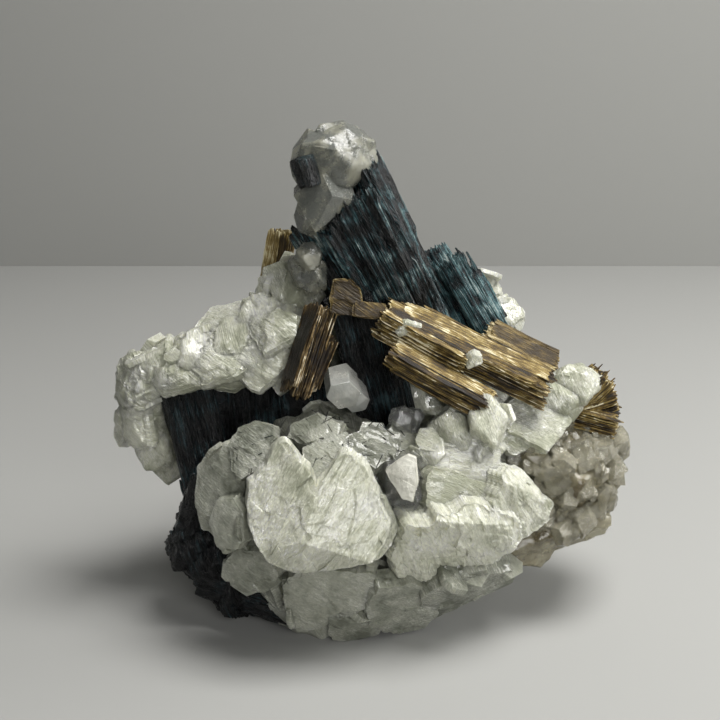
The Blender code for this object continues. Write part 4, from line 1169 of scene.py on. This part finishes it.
add_tablet(petals, (-14.9, -17.6, 12.7), (-18, -12), [
    (-19.3, 13.0), (-17.0, 16.4), (-13.0, 16.6), (-10.8, 12.6), (-12.4, 9.6), (-15.8, 8.6),
    (-18.3, 9.6)], 3.0, 414, **medium)
UPPER_PETALS = [
    ((-3.4, -16.4, 27.8), (-4, 44), 5.0, 3.6, 3.0, 208),
    ((-5.8, -12.4, 30.6), (-20, 50), 4.2, 3.0, 2.6, 209),
    ((1.6, -14.8, 29.6), (14, 46), 4.2, 3.0, 2.8, 210),
    ((5.2, -13.2, 28.2), (30, 40), 3.6, 3.4, 3.0, 211),
]
for centre, facing, across, along, thick, seed in UPPER_PETALS:
    add_blade(petals, centre, facing, across, along, thick, seed, **medium)
# The petals take the darker grey albite: partly their own grey-green, partly painted shade, as they face away
# from the light.
show("albite_petals", petals, ALBITE_GREY_SHADE, "albite")

# %% [markdown]
# ### The foot
#
# Below the rosette, blades hang down towards the ground, and some of them reach it. They take the
# darker grey albite, partly their own grey-green and partly painted shade for their place low under
# the rosette, and their lower edges are chipped.

# %% Albite foot
foot = Pile()
add_tablet(foot, (-5.0, -17.6, 8.2), (-6, -12), [
    (-11.1, 10.3), (-10.8, 6.9), (-10.4, 4.6), (-9.0, 2.2), (-7.6, 2.2), (-1.4, 6.2), (1.6, 7.6),
    (2.5, 13.5), (-8.5, 14.0)], 3.6, 421, **medium)
add_blade(foot, (-9.8, -13.6, 3.4), (-30, -24), 3.8, 3.0, 3.2, 221, **medium)
add_blade(foot, (-1.2, -16.2, 3.6), (8, -24), 4.4, 3.6, 3.2, 222, **medium)
add_tablet(foot, (5.8, -16.6, 6.7), (18, -28), [
    (0.0, 8.0), (1.0, 3.4), (5.2, 0.8), (9.0, 1.4), (11.2, 3.8), (11.0, 9.0), (7.1, 12.4),
    (2.0, 12.0)], 3.2, 424, **medium)
add_tablet(foot, (13.9, -13.4, 6.9), (26, -38), [
    (8.6, 3.4), (11.3, 2.8), (17.2, 6.2), (22.4, 7.9), (21.6, 11.6), (12.7, 13.0), (8.0, 10.2)],
    3.4, 425, **medium)
add_blade(foot, (-13.6, -12.4, 8.2), (-56, -20), 4.2, 4.6, 3.4, 227, **medium)
show("albite_foot", foot, ALBITE_GREY_SHADE, "albite")

# %% [markdown]
# ### The right side
#
# The blades on the right are ribbed and white, and knobs climb above them to the mica.

# %% Albite right side
ribbed = {"dents": True, "terraces": 1.2, "ragged": 0.05, "flake": 1.3}
right_mass = Pile()
add_tablet(right_mass, (13.0, -18.4, 17.0), (12, -2), [
    (3.9, 15.2), (4.3, 18.7), (5.6, 20.4), (5.4, 22.0), (8.4, 22.0), (9.4, 23.6), (12.5, 23.4), (14.0, 24.3),
    (17.4, 23.3), (20.0, 21.6), (22.6, 19.9), (23.3, 16.4), (21.0, 14.6), (19.4, 13.0), (15.0, 12.2),
    (10.8, 10.6), (7.9, 10.2), (5.4, 11.9)],
    5.0, 431, rings=82, columns=380, relief=0.34, layers=11, grain_turn=24, ribs=0.6, tilt=0.24,
    faces=((-0.02, 0.42, 0.0), (-0.25, -0.60, 4.8), (-0.8, 0.1, 6.8), (0.8, 0.2, 6.4)), **ribbed)
add_tablet(right_mass, (22.0, -15.0, 20.9), (34, 8), [
    (17.0, 22.9), (18.0, 26.2), (20.1, 27.0), (23.4, 25.7), (25.3, 22.5), (27.2, 20.2), (26.6, 17.5),
    (24.0, 15.9), (18.6, 15.6)],
    4.2, 432, rings=60, columns=260, relief=0.30, layers=9, grain_turn=30, ribs=0.5, tilt=0.2,
    faces=((0.0, 0.2, 0.0), (-0.5, -0.7, 2.4)), **ribbed)
add_tablet(right_mass, (12.6, -17.2, 23.9), (16, 14), [
    (8.8, 21.0), (8.6, 26.0), (9.6, 27.9), (12.8, 27.0), (18.2, 24.3), (20.0, 21.8), (15.5, 19.0)],
    3.4, 433, **medium)
add_tablet(right_mass, (15.6, -13.6, 26.8), (8, 16), [
    (10.2, 30.0), (18.4, 30.6), (19.8, 27.8), (20.3, 23.6), (17.0, 21.0), (12.0, 23.0), (9.6, 26.0)],
    4.6, 434, grain_turn=80, **medium)
add_blade(right_mass, (25.4, -6.4, 30.8), (22, 36), 6.2, 4.4, 2.8, 240, **medium)
add_blade(right_mass, (22.4, -7.6, 30.0), (10, 22), 3.6, 4.2, 2.8, 241, **medium)
KNOBS = [
    ((13.2, -12.4, 30.8), (3.5, 3.4, 3.4), 233, 12), ((17.9, -13.0, 32.4), (2.8, 3.0, 4.4), 234, 12),
    ((10.0, -13.6, 28.8), (2.8, 2.8, 3.0), 235, 12), ((16.8, -12.2, 28.4), (3.8, 3.6, 3.6), 236, 12),
    ((28.4, -2.4, 32.8), (4.8, 4.4, 3.4), 238, 13), ((32.2, -1.2, 34.6), (3.9, 3.8, 2.8), 239, 13),
]
ON_THE_MICA = [((15.9, -10.0, 41.2), (1.5, 0.9, 1.2), 242), ((6.8, -8.9, 45.5), (2.2, 0.7, 1.0), 244)]
for centre, radii, seed, faces in KNOBS:
    add_lump(right_mass, centre, radii, seed, faces, rows=48, columns=78, relief=0.14, grit=0.6, power=18,
             flake=2.0, tilt=0.10)
for centre, radii, seed in ON_THE_MICA:
    add_lump(right_mass, centre, radii, seed, 10, rows=30, columns=44, relief=0.1, power=40, flake=1.0,
             tilt=0.14)
show("albite_right_blades", right_mass, ALBITE_WHITE, "albite")

# %% [markdown]
# ### The wing
#
# On the left an arm of crowded white crystals arches over a dark cavity.

# %% Albite wing
WING = [
    ((-12.8, 1.4, 41.8), (5.4, 6.2, 5.8), 251, 14), ((-9.4, 4.8, 47.6), (3.2, 4.4, 6.0), 252, 13),
    ((-17.8, 0.6, 40.0), (5.2, 6.2, 4.6), 253, 13), ((-23.2, 0.8, 39.0), (5.4, 6.2, 4.2), 254, 13),
    ((-29.0, -0.4, 36.8), (4.8, 5.6, 4.0), 255, 13), ((-32.8, -0.2, 34.4), (3.4, 4.8, 5.0), 256, 13),
    ((-33.2, 0.4, 28.6), (3.0, 4.4, 5.2), 257, 13), ((-31.4, 1.6, 23.8), (3.0, 4.2, 3.9), 258, 13),
]
WING_BLADES = [
    ((-15.0, -3.6, 39.2), (-10, 18), 5.2, 3.8, 2.8, 259), ((-21.6, -3.6, 38.6), (-6, 30), 5.2, 3.2, 2.8, 260),
    ((-27.4, -3.6, 36.8), (-16, 26), 4.4, 3.2, 2.8, 261), ((-18.8, 1.6, 42.8), (-10, 62), 5.2, 4.6, 2.6, 262),
    ((-12.4, -3.8, 43.4), (-20, 40), 3.8, 3.4, 2.2, 263),
    ((-33.6, -1.6, 35.0), (-54, 16), 3.6, 4.4, 2.8, 264),
    ((-33.2, -2.4, 29.6), (-40, 4), 2.9, 4.6, 2.6, 265), ((-19.6, -2.2, 36.2), (-4, -24), 3.4, 2.8, 2.4, 266),
    ((-11.4, -2.8, 37.4), (-10, 0), 3.0, 3.0, 3.2, 267),
]
wing = Pile()
for centre, radii, seed, faces in WING:
    add_lump(wing, centre, radii, seed, faces, rows=54, columns=92, relief=0.24, grit=0.6, power=20,
             flake=2.6, tilt=0.14)
for centre, facing, across, along, thick, seed in WING_BLADES:
    add_blade(wing, centre, facing, across, along, thick, seed, rings=30, columns=110, relief=0.3,
              terraces=1.2, ragged=0.06, dome=0.9, bevel=20)
show("albite_wing", wing, ALBITE_WHITE, "albite")

# %% [markdown]
# ### The back
#
# The picture doesn't show the back, so it is a guess. The same blades go on round it.

# %% Albite back
BACK_BLADES = [
    ((-24.0, 9.0, 33.0), (214, 18), 5.6, 6.0), ((-15.5, 15.0, 31.0), (196, 24), 6.2, 5.4),
    ((-6.0, 20.0, 14.0), (188, -4), 6.6, 6.6), ((8.0, 25.0, 24.0), (176, 14), 7.0, 6.2),
    ((17.5, 21.0, 30.0), (158, 30), 6.0, 5.4), ((24.0, 14.0, 33.0), (138, 34), 5.4, 5.0),
    ((22.0, 19.0, 15.0), (146, -6), 6.6, 6.0), ((-17.5, 14.0, 20.0), (214, 4), 5.8, 6.6),
    ((10.0, 23.0, 12.0), (170, -16), 6.6, 5.8), ((-23.5, 5.5, 24.0), (236, -2), 5.0, 6.2),
    ((-13.0, 13.5, 8.5), (212, -22), 6.2, 5.2), ((2.5, 19.5, 37.0), (188, 44), 5.4, 4.8),
]
BACK_LUMPS = [
    ((18.8, 16.2, 42.6), (4.0, 3.6, 4.6), 291), ((22.2, 13.2, 40.0), (3.6, 3.4, 3.8), 292),
    ((-12.6, 8.8, 45.0), (4.0, 4.2, 4.0), 293),
]
FIRST_BACK_SEED = 271
back = Pile()
for seed, (centre, facing, across, along) in enumerate(BACK_BLADES, FIRST_BACK_SEED):
    add_blade(back, centre, facing, across, along, 3.0, seed, rings=22, columns=84, relief=0.18, layers=7)
for centre, radii, seed in BACK_LUMPS:
    add_lump(back, centre, radii, seed, 13, rows=30, columns=50, relief=0.18, grit=1.1)
show("albite_back", back, ALBITE_WHITE, "albite")

# %% [markdown]
# ## Tourmaline
#
# The tall column leans to the left and widens towards its top. It is a sheaf of rods, and thin
# splinters lie in its grooves.

# %% Tourmaline column
COLUMN = [
    (-7.6, -0.4, 2.4, 0.2), (-5.0, -2.6, 2.6, 0.2), (-4.6, 2.0, 2.9, 0.4), (-2.0, -3.6, 2.7, 0.4),
    (-1.8, 3.6, 2.9, 0.8), (1.2, -3.4, 2.8, 0.8), (1.2, 0.8, 3.4, 1.6), (1.8, 4.0, 2.8, 2.8),
    (4.2, -2.0, 2.4, 4.0), (4.6, 1.6, 2.4, 4.8), (-3.6, -5.0, 1.2, -1.6), (3.4, -4.4, 1.2, 1.4),
]


def tourmaline(name, foot, tip, members, spread, seed, splinters, material=TOURMALINE, **more):
    """A sheaf and its splinters, as one piece."""
    pile = Pile()
    sheaf = add_sheaf(pile, foot, tip, members, spread, seed, **more)
    add_splinters(pile, sheaf, splinters, seed)
    show(name + "_sheaf", pile, material, name)


tourmaline("tourmaline_column", (9.4, 1.0, 40.0), (-1.4, 2.6, 61.0), COLUMN, 0.72, 11, 170,
           rows=78, columns=480, cap_rings=34, groove=0.30, jag=1.1)

# %% [markdown]
# The other sheaves are made the same way: one behind, one in the pocket, two in the cavity and one on
# the back.

# %% Other tourmaline sheaves
tourmaline("tourmaline_rear", (21.4, 9.2, 33.0), (10.6, 12.0, 50.8), [
    (-2.0, 0.6, 2.6, 1.2), (0.9, 1.6, 2.7, 0.2), (2.5, -1.2, 2.3, -2.0), (4.2, 0.9, 1.8, -5.0)],
    0.95, 31, 90, TOURMALINE_TEAL, rows=76, columns=310, cap_rings=26, groove=0.26, jag=1.0)
tourmaline("tourmaline_pocket", (4.8, -1.6, 25.0), (-0.9, -1.0, 47.6), [
    (-1.9, 0.0, 2.2, 0.0), (1.4, -0.8, 2.3, 1.0), (0.0, 2.4, 2.6, 0.4), (3.4, 1.6, 1.7, -2.4)],
    1.0, 41, 110, TOURMALINE_BLACK_SHADE, rows=70, columns=240)
tourmaline("tourmaline_left", (-21.4, -3.8, 16.4), (-25.8, -1.6, 35.6), [
    (-3.0, -1.0, 1.9, -0.4), (-0.9, -2.3, 1.7, 0.3), (1.4, -1.0, 2.0, 1.0), (0.0, 1.5, 2.7, 0.6)],
    1.0, 51, 90, TOURMALINE_BLACK_SHADE, rows=60, columns=240)
tourmaline("tourmaline_inner", (-15.0, 1.4, 20.0), (-16.0, 0.8, 38.0), [
    (-6.8, 1.0, 2.7, -0.6), (-2.8, 0.4, 2.8, 0.0), (1.2, 0.2, 3.0, 0.6), (5.2, 0.7, 2.6, -0.6),
    (8.6, -0.6, 2.8, 0.4)],
    1.0, 61, 90, TOURMALINE_BLACK_SHADE, rows=50, columns=260)
tourmaline("tourmaline_back", (1.0, 15.5, 20.0), (-6.0, 22.0, 42.0), [
    (-2.4, 0.0, 2.3, -1.0), (0.6, 0.9, 2.7, 0.8), (3.2, -0.3, 2.1, -2.2), (1.2, 2.9, 1.6, -3.4)],
    1.0, 91, 90, TOURMALINE_BLACK_SHADE, rows=60, columns=240)

# %% Tourmaline foot and chip
FOOT_LUMPS = [
    ((-25.6, -7.6, 11.4), (3.6, 3.8, 3.6), 73), ((-21.8, -7.8, 7.8), (4.4, 4.2, 3.9), 74),
    ((-18.6, -9.2, 4.6), (4.4, 4.0, 4.0), 76),
]
rough_rod = {"rows": 50, "columns": 84, "tilt": 0.2}
splinter = {"sides": 6, "slant": 0.1, "rows": 40, "columns": 60, "relief": 0.08}
pile = Pile()
add_prism(pile, (-26.9, -7.6, 9.8), (-23.0, -6.8, 21.6), 2.5, 71, relief=0.16, **rough_rod)
add_prism(pile, (-24.4, -5.6, 9.0), (-21.2, -5.4, 21.0), 2.3, 72, relief=0.16, **rough_rod)
add_prism(pile, (-23.2, -8.4, 6.4), (-10.6, -11.4, 3.3), 3.3, 75, sides=8, relief=0.2, **rough_rod)
for centre, radii, seed in FOOT_LUMPS:
    add_lump(pile, centre, radii, seed, 13, rows=50, columns=86, relief=0.35, grit=1.2, flake=1.3, tilt=0.28)
show("tourmaline_foot_rods", pile, TOURMALINE_BLACK_SHADE, "tourmaline_foot")
pile = Pile()
add_prism(pile, (-6.5, -3.4, 64.9), (-7.8, -3.3, 68.9), 1.25, 81, **splinter)
add_prism(pile, (-7.6, -1.6, 64.5), (-9.0, -1.0, 68.4), 1.15, 82, **splinter)
show("tourmaline_chip_rods", pile, TOURMALINE_BLACK_SHADE, "tourmaline_chip")

# %% [markdown]
# ## Mica
#
# The books lie across the foot of the column, and split edges face the front. A thin flake lies
# against the column, one book hangs by the wing, one fans out on the far right and one stands behind.


# %% Mica books in place
def mica(name, material, books):
    """Several books as one piece. A book is (start, end, stack, width, thickness, sheets, seed, and
    how ragged it is where that isn't the usual)."""
    pile = Pile()
    for start, end, stack, width, thick, sheets, seed, more in books:
        add_book(pile, start, end, stack, width, thick, sheets, seed, **more)
    show(name + "_book", pile, material, name)


mica("mica_upper", MICA_GOLD, [
    ((4.2, -5.6, 46.6), (27.8, -7.2, 35.4), (0.40, -0.30, 0.86), 7.0, 3.8, 26, 101, {"ragged": 0.2}),
    ((2.8, -6.4, 46.6), (15.4, -8.6, 40.0), (0.40, -0.30, 0.86), 5.4, 4.4, 26, 107, {"ragged": 0.14})])
mica("mica_lower", MICA_GOLD, [
    ((4.0, -10.6, 42.3), (18.6, -13.2, 34.9), (0.42, -0.34, 0.84), 4.6, 3.2, 24, 111, {"ragged": 0.2})])
mica("mica_rear", MICA_PALE, [
    ((19.0, 2.8, 41.6), (29.8, 1.0, 36.6), (0.40, -0.42, 0.82), 5.4, 2.4, 14, 121, {"ragged": 0.12})])
mica("mica_left", MICA_DARK, [
    ((-5.4, -5.6, 48.0), (-9.6, -9.6, 35.4), (-0.86, -0.50, 0.05), 4.6, 3.4, 16, 131, {"ragged": 0.18}),
    ((-3.9, -6.6, 43.6), (-7.2, -9.6, 36.4), (-0.7, -0.7, 0.1), 2.4, 1.2, 6, 137, {})])
mica("mica_back", MICA_PALE, [
    ((-14.2, 11.6, 42.4), (-12.0, 13.2, 55.2), (-0.45, -0.88, 0.1), 4.4, 2.2, 12, 151, {"ragged": 0.12})])

# %% Mica fan and flake
FAN_HINGE = np.array((31.8, 0.6, 30.2))
fan = []
for i, lean in enumerate((-14, 16, 48)):
    a = math.radians(lean)
    along = unit((math.cos(a), 0.12 * math.sin(5 * a), math.sin(a)))
    fan.append((FAN_HINGE, FAN_HINGE + along * (7.6 - 0.5 * (i % 2)), (-math.sin(a), -0.25, math.cos(a)),
                6.2 - 0.6 * i, 3.2, 12, 141 + i, {"ragged": 0.1}))
mica("mica_fan", MICA_GOLD, fan)

# A flake is (centre, facing, sides, step from sheet to sheet, sheet, trim, trim's stride, first seed).
FLAKE_SHEETS = 5
FLAKES = [
    ((-2.0, -7.2, 49.4), (-8, 8),
     [(0, 2.2), (48, 2.5), (96, 2.9), (176, 2.2), (212, 3.0), (266, 2.4), (318, 2.6)],
     0.24, 0.2, 0.06, 3, 160),
    ((1.4, -7.4, 47.6), (14, 16, -8), [(8, 2.2), (88, 1.3), (176, 2.6), (268, 1.2), (318, 1.7)],
     0.3, 0.24, 0.07, 2, 170),
]
pile = Pile()
for i in range(FLAKE_SHEETS):
    for centre, facing, sides, gap, leaf, trim, stride, seed in FLAKES:
        torn = [(angle, distance * (1 - trim * ((stride * i + k) % 4)))
                for k, (angle, distance) in enumerate(sides)]
        place = np.array(centre) + turned(*facing)[2] * (gap * i - 2 * gap)
        add_plate(pile, place, facing, torn, leaf, seed + i, rings=12, columns=60, ragged=0.06,
                  relief=0.05, layers=1, terraces=1.0)
show("mica_flake_sheets", pile, MICA_PALE, "mica_flake")

# %% [markdown]
# ## Quartz
#
# A glassy cap grew over the top of the column, and small crystals sit in the pocket and between the
# blades.

# %% Quartz cap and grains
CAP_LUMPS = [((-3.4, 2.0, 67.8), (5.2, 5.0, 5.1), 161, 17), ((-1.9, 3.2, 69.4), (4.2, 4.0, 2.9), 163, 12)]
CAP_BLOCKS = [
    ((-5.9, 0.8, 67.6), (3.8, 4.0, 3.9), 162), ((-4.9, -0.8, 63.0), (4.0, 3.8, 3.5), 164),
    ((-6.5, -0.6, 60.4), (2.6, 3.2, 3.4), 165),
]
SIDE_LUMPS = [
    ((-7.4, -2.2, 54.2), (1.9, 2.2, 2.3), 171), ((-6.7, -2.4, 51.2), (1.8, 2.0, 2.6), 172),
    ((-8.2, -0.8, 51.8), (1.8, 2.2, 2.9), 173),
]
pile = Pile()
for centre, radii, seed, faces in CAP_LUMPS:
    add_lump(pile, centre, radii, seed, faces, rows=66, columns=106, relief=0.12, power=30, grit=0.7,
             flake=2.0, tilt=0.07)
for centre, radii, seed in CAP_BLOCKS:
    add_block(pile, centre, radii, seed)
show("quartz_cap_crystals", pile, QUARTZ_MILKY, "quartz_cap", bevel=0.08)
pile = Pile()
for centre, radii, seed in SIDE_LUMPS:
    add_lump(pile, centre, radii, seed, 13, rows=44, columns=64, relief=0.1, grit=0.8)
show("quartz_side_crystals", pile, QUARTZ_MILKY, "quartz_side", bevel=0.08)

# %% Quartz points
pile = Pile()
add_quartz(pile, (-2.8, -3.6, 36.6), (-2.2, -9.4, 35.2), 2.35, 1, 0.35)
add_quartz(pile, (-1.0, -3.4, 34.8), (-0.3, -8.0, 33.4), 1.7, 2, 0.4)
show("quartz_hexagonal_crystals", pile, QUARTZ_PALE, "quartz_hexagonal", bevel=0.06)
pile = Pile()
add_quartz(pile, (6.3, -9.6, 29.8), (5.7, -12.2, 34.4), 1.9, 3, 0.8)
add_quartz(pile, (7.4, -8.8, 30.6), (8.3, -10.6, 33.8), 1.3, 4, 0.8)
show("quartz_pocket_crystals", pile, QUARTZ_CLEAR, "quartz_pocket", bevel=0.06)
pile = Pile()
add_quartz(pile, (7.2, -14.6, 24.0), (3.9, -20.0, 28.6), 2.9, 5, 1.1)
add_block(pile, (6.4, -17.0, 23.4), (3.0, 2.6, 2.8), 181)
show("quartz_front_crystals", pile, QUARTZ_CLEAR, "quartz_front", bevel=0.06)
pile = Pile()
add_tablet(pile, (6.2, -20.4, 27.0), (-6, 16), [
    (3.5, 28.2), (6.6, 30.5), (7.7, 30.0), (8.0, 27.0), (7.3, 24.2), (5.9, 24.4), (4.5, 26.4)], 1.8, 182,
    rings=30, columns=120, relief=0.06, ragged=0.03, terraces=0.4, ribs=0.3, tilt=0.04, dome=0.25)
show("quartz_front_facet", pile, QUARTZ_FROSTED, "quartz_front", bevel=0.06)

# %% [markdown]
# ### The smoky mass
#
# The right-hand end is a brown mass, bare and broken in its lower half. Six-sided points, about 4 to
# 6 mm thick, stand out of it.

# %% Smoky quartz
SMOKY = [
    ((30.2, -0.2, 20.6), (8.2, 9.4, 7.8), 191, 17), ((27.4, -3.4, 14.6), (10.2, 8.2, 4.9), 192, 15),
    ((35.2, 1.4, 21.6), (4.8, 6.6, 5.6), 193, 13), ((34.2, 1.0, 14.4), (4.8, 6.2, 4.6), 194, 13),
    ((34.6, 4.4, 26.2), (4.4, 5.2, 3.8), 195, 13), ((22.0, -5.2, 11.6), (8.4, 6.2, 4.0), 196, 13),
]
SMOKY_POINTS = [
    (24.6, -9.0, 26.0, 2.2), (28.6, -9.4, 24.6, 1.9), (31.4, -9.2, 21.0, 2.2), (35.4, -5.2, 24.2, 2.8),
    (37.4, -2.0, 19.2, 2.2), (34.8, -6.4, 17.6, 2.3), (38.0, 1.6, 24.0, 2.3), (27.6, -9.6, 20.4, 1.9),
    (35.6, 9.0, 22.0, 2.6), (30.6, 9.8, 19.0, 2.6), (27.6, 9.6, 24.6, 2.3),
]
smoky = Pile()
for centre, radii, seed, faces in SMOKY:
    add_lump(smoky, centre, radii, seed, faces, rows=56, columns=94, relief=0.16, grit=0.5, power=60)
middle = np.array((30.5, 0.8, 20.5))
for i, (x, y, z, radius) in enumerate(SMOKY_POINTS):
    tip = np.array((x, y, z))
    inward = unit(middle - tip)
    add_quartz(smoky, tip + inward * 3.2 * radius, tip - inward * 0.4 * radius, radius, i, 0.8)
show("quartz_smoky_mass", smoky, QUARTZ_SMOKY, "quartz_smoky", bevel=0.08)

# %% [markdown]
# Small glassy grains crowd the upper half of the mass and of its points. About a third of them are
# small six-sided points too.

# %% Crust of grains
dice = np.random.default_rng(21)
crust = Pile()
places, ways = spots(smoky.crystals, 0.5, dice, bury=0.8)
upper = places[:, 2] > 15.6 + 3.0 * noise(places * 0.2, 3)
for place, way in zip(places[upper], ways[upper]):
    radius = dice.uniform(0.5, 1.0) * dice.choice((1.0, 1.4, 1.8))
    way = unit(way + dice.normal(0, 0.35, 3))
    if dice.uniform() < 0.3:
        add_quartz(crust, place - way * radius, place + way * radius * 1.2, 0.6 * radius,
                   int(dice.integers(999)), 0.8)
    else:
        add_grain(crust, place - 0.1 * way * radius, way, radius, dice)
show("quartz_smoky_crust", crust, QUARTZ_CRUST, "quartz_smoky", bevel=0.05)

# %% [markdown]
# ## Small albite blades
#
# They come after all the large crystals, so that they keep out of every one.

# %% Small albite blades
dice = np.random.default_rng(22)


def small_blades(name, hosts, per_square, material, size, tilt, sink=0.12):
    """Blades scattered on hosts, each facing nearly as its host does and sunk a share of its width."""
    pile = Pile()
    places, ways = spots(hosts, per_square, dice, bury=0.5)
    for place, way in zip(places, ways):
        across = dice.uniform(*size)
        way = unit(way + tilt * dice.normal(0, 1, 3))
        add_chip(pile, place - way * sink * across, way, across, across * dice.uniform(1.0, 1.5),
                 across * dice.uniform(0.3, 0.6), dice)
    show(name, pile, material, "albite", bevel=0.05)


wing_lumps, knobs = wing.crystals[:len(WING)], right_mass.crystals[6:10]
bare_heart = heart.crystals[:3] + heart.crystals[5:]
petals_and_foot = petals.crystals + foot.crystals
small_blades("albite_wing_blades", wing_lumps, 0.05, ALBITE_WHITE, (0.8, 2.6), 0.10, sink=0.22)
small_blades("albite_knob_blades", knobs, 0.06, ALBITE_WHITE, (0.6, 1.8), 0.14, sink=0.2)
# The heart and petal blades take the darker grey albite, which is partly painted shade.
small_blades("albite_heart_blades", bare_heart, 0.05, ALBITE_GREY_SHADE, (1.0, 2.6), 0.4)
small_blades("albite_petal_blades", petals_and_foot, 0.06, ALBITE_GREY_SHADE, (0.9, 2.3), 0.08, sink=0.4)
small_blades("albite_back_blades", back.crystals, 0.05, ALBITE_WHITE, (0.9, 2.4), 0.35)

# %% [markdown]
# ## Needles
#
# Thin black needles of tourmaline lie over the blades at the pocket's edge, pressed in as they grew.

# %% Needles
dice = np.random.default_rng(23)
needles = Pile()
places, ways = spots(petals.crystals[-4:] + petals.crystals[1:2], 0.5, dice, bury=0.3)
for start, facing in zip(places[ways[:, 2] > 0.3], ways[ways[:, 2] > 0.3]):
    across, other = square_to(facing)
    turn = dice.uniform(0, math.tau)
    way = unit(across * math.cos(turn) + other * math.sin(turn) + facing * dice.uniform(0.0, 0.35))
    long, wide = dice.uniform(1.0, 3.4), dice.uniform(0.04, 0.09)
    across, other = square_to(way)
    turn = math.tau * np.arange(5) / 5
    ring = np.cos(turn)[:, None] * across + np.sin(turn)[:, None] * other
    grid = start + np.array((-0.5, 0.5))[:, None, None] * long * way + wide * ring[None]
    grain = np.stack(np.broadcast_arrays(turn * wide, np.array((0.0, long))[:, None]), -1)
    poles = np.stack((start - 0.52 * long * way, start + 0.52 * long * way))
    needles.add(poles, grid, grain, dice.uniform(0, 1))
show("tourmaline_needles", needles, TOURMALINE_BLACK_SHADE, "tourmaline_pocket")

# %% [markdown]
# ## Floor, wall and light
#
# The cluster stands on a pale floor before a pale wall. The key light is overhead and to the right, a
# weaker one is level with the cluster on the right, and a third is in front, low and to the right. The
# wall's material is clear from behind, so that the other views can look through it.


# %% Stage
FLOOR_HALF = 1.5
WALL_BACK = 0.227
WALL_TOP = 1.2
LIT_POINT = (0.0, 0.0, 0.03)
LIGHTS = [
    ("key", (0.13, -0.03, 0.38), 0.20, 2.05, (1.0, 0.99, 0.97)),
    ("side", (0.36, 0.03, 0.13), 0.20, 0.80, (1.0, 1.0, 0.98)),
    ("front", (0.12, -0.43, 0.19), 0.22, 1.0, (1.0, 1.0, 0.98)),
]


def flat_sheet(name, corners, material):
    """One four-cornered face that belongs to the stage."""
    mesh = bpy.data.meshes.new(name)
    mesh.from_pydata(corners, [], [(0, 1, 2, 3)])
    mesh.materials.append(material)
    sheet = bpy.data.objects.new(name, mesh)
    bpy.context.scene.collection.objects.link(sheet)


FLOOR, _, shader = new_material("floor", roughness=0.85)
shader.inputs["Base Color"].default_value = (0.335, 0.335, 0.323, 1.0)
WALL, tree, shader = new_material("wall", roughness=0.9)
shader.inputs["Base Color"].default_value = (0.265, 0.265, 0.252, 1.0)
behind = add_node(tree, "ShaderNodeNewGeometry").outputs["Backfacing"]
clear = add_node(tree, "ShaderNodeBsdfTransparent").outputs[0]
both = add_node(tree, "ShaderNodeMixShader", {0: behind, 1: shader.outputs[0], 2: clear})
tree.links.new(both.outputs[0], tree.nodes["Material Output"].inputs["Surface"])
flat_sheet("floor", [(-FLOOR_HALF, -FLOOR_HALF, 0), (FLOOR_HALF, -FLOOR_HALF, 0),
                     (FLOOR_HALF, FLOOR_HALF, 0), (-FLOOR_HALF, FLOOR_HALF, 0)], FLOOR)
flat_sheet("wall", [(-FLOOR_HALF, WALL_BACK, 0), (FLOOR_HALF, WALL_BACK, 0),
                    (FLOOR_HALF, WALL_BACK, WALL_TOP), (-FLOOR_HALF, WALL_BACK, WALL_TOP)], WALL)
for name, where, size, power, colour in LIGHTS:
    light = bpy.data.lights.new(name, "AREA")
    light.size, light.energy, light.color = size, power, colour
    lamp = bpy.data.objects.new(name, light)
    bpy.context.scene.collection.objects.link(lamp)
    point_at(lamp, where, LIT_POINT)
world = bpy.data.worlds.new("studio")
world.use_nodes = True
world.node_tree.nodes["Background"].inputs["Color"].default_value = (0.9, 0.95, 1.0, 1.0)
world.node_tree.nodes["Background"].inputs["Strength"].default_value = 0.05
bpy.context.scene.world = world
bpy.context.scene.view_settings.view_transform = "Standard"
print("lights:", [name for name, *_ in LIGHTS])
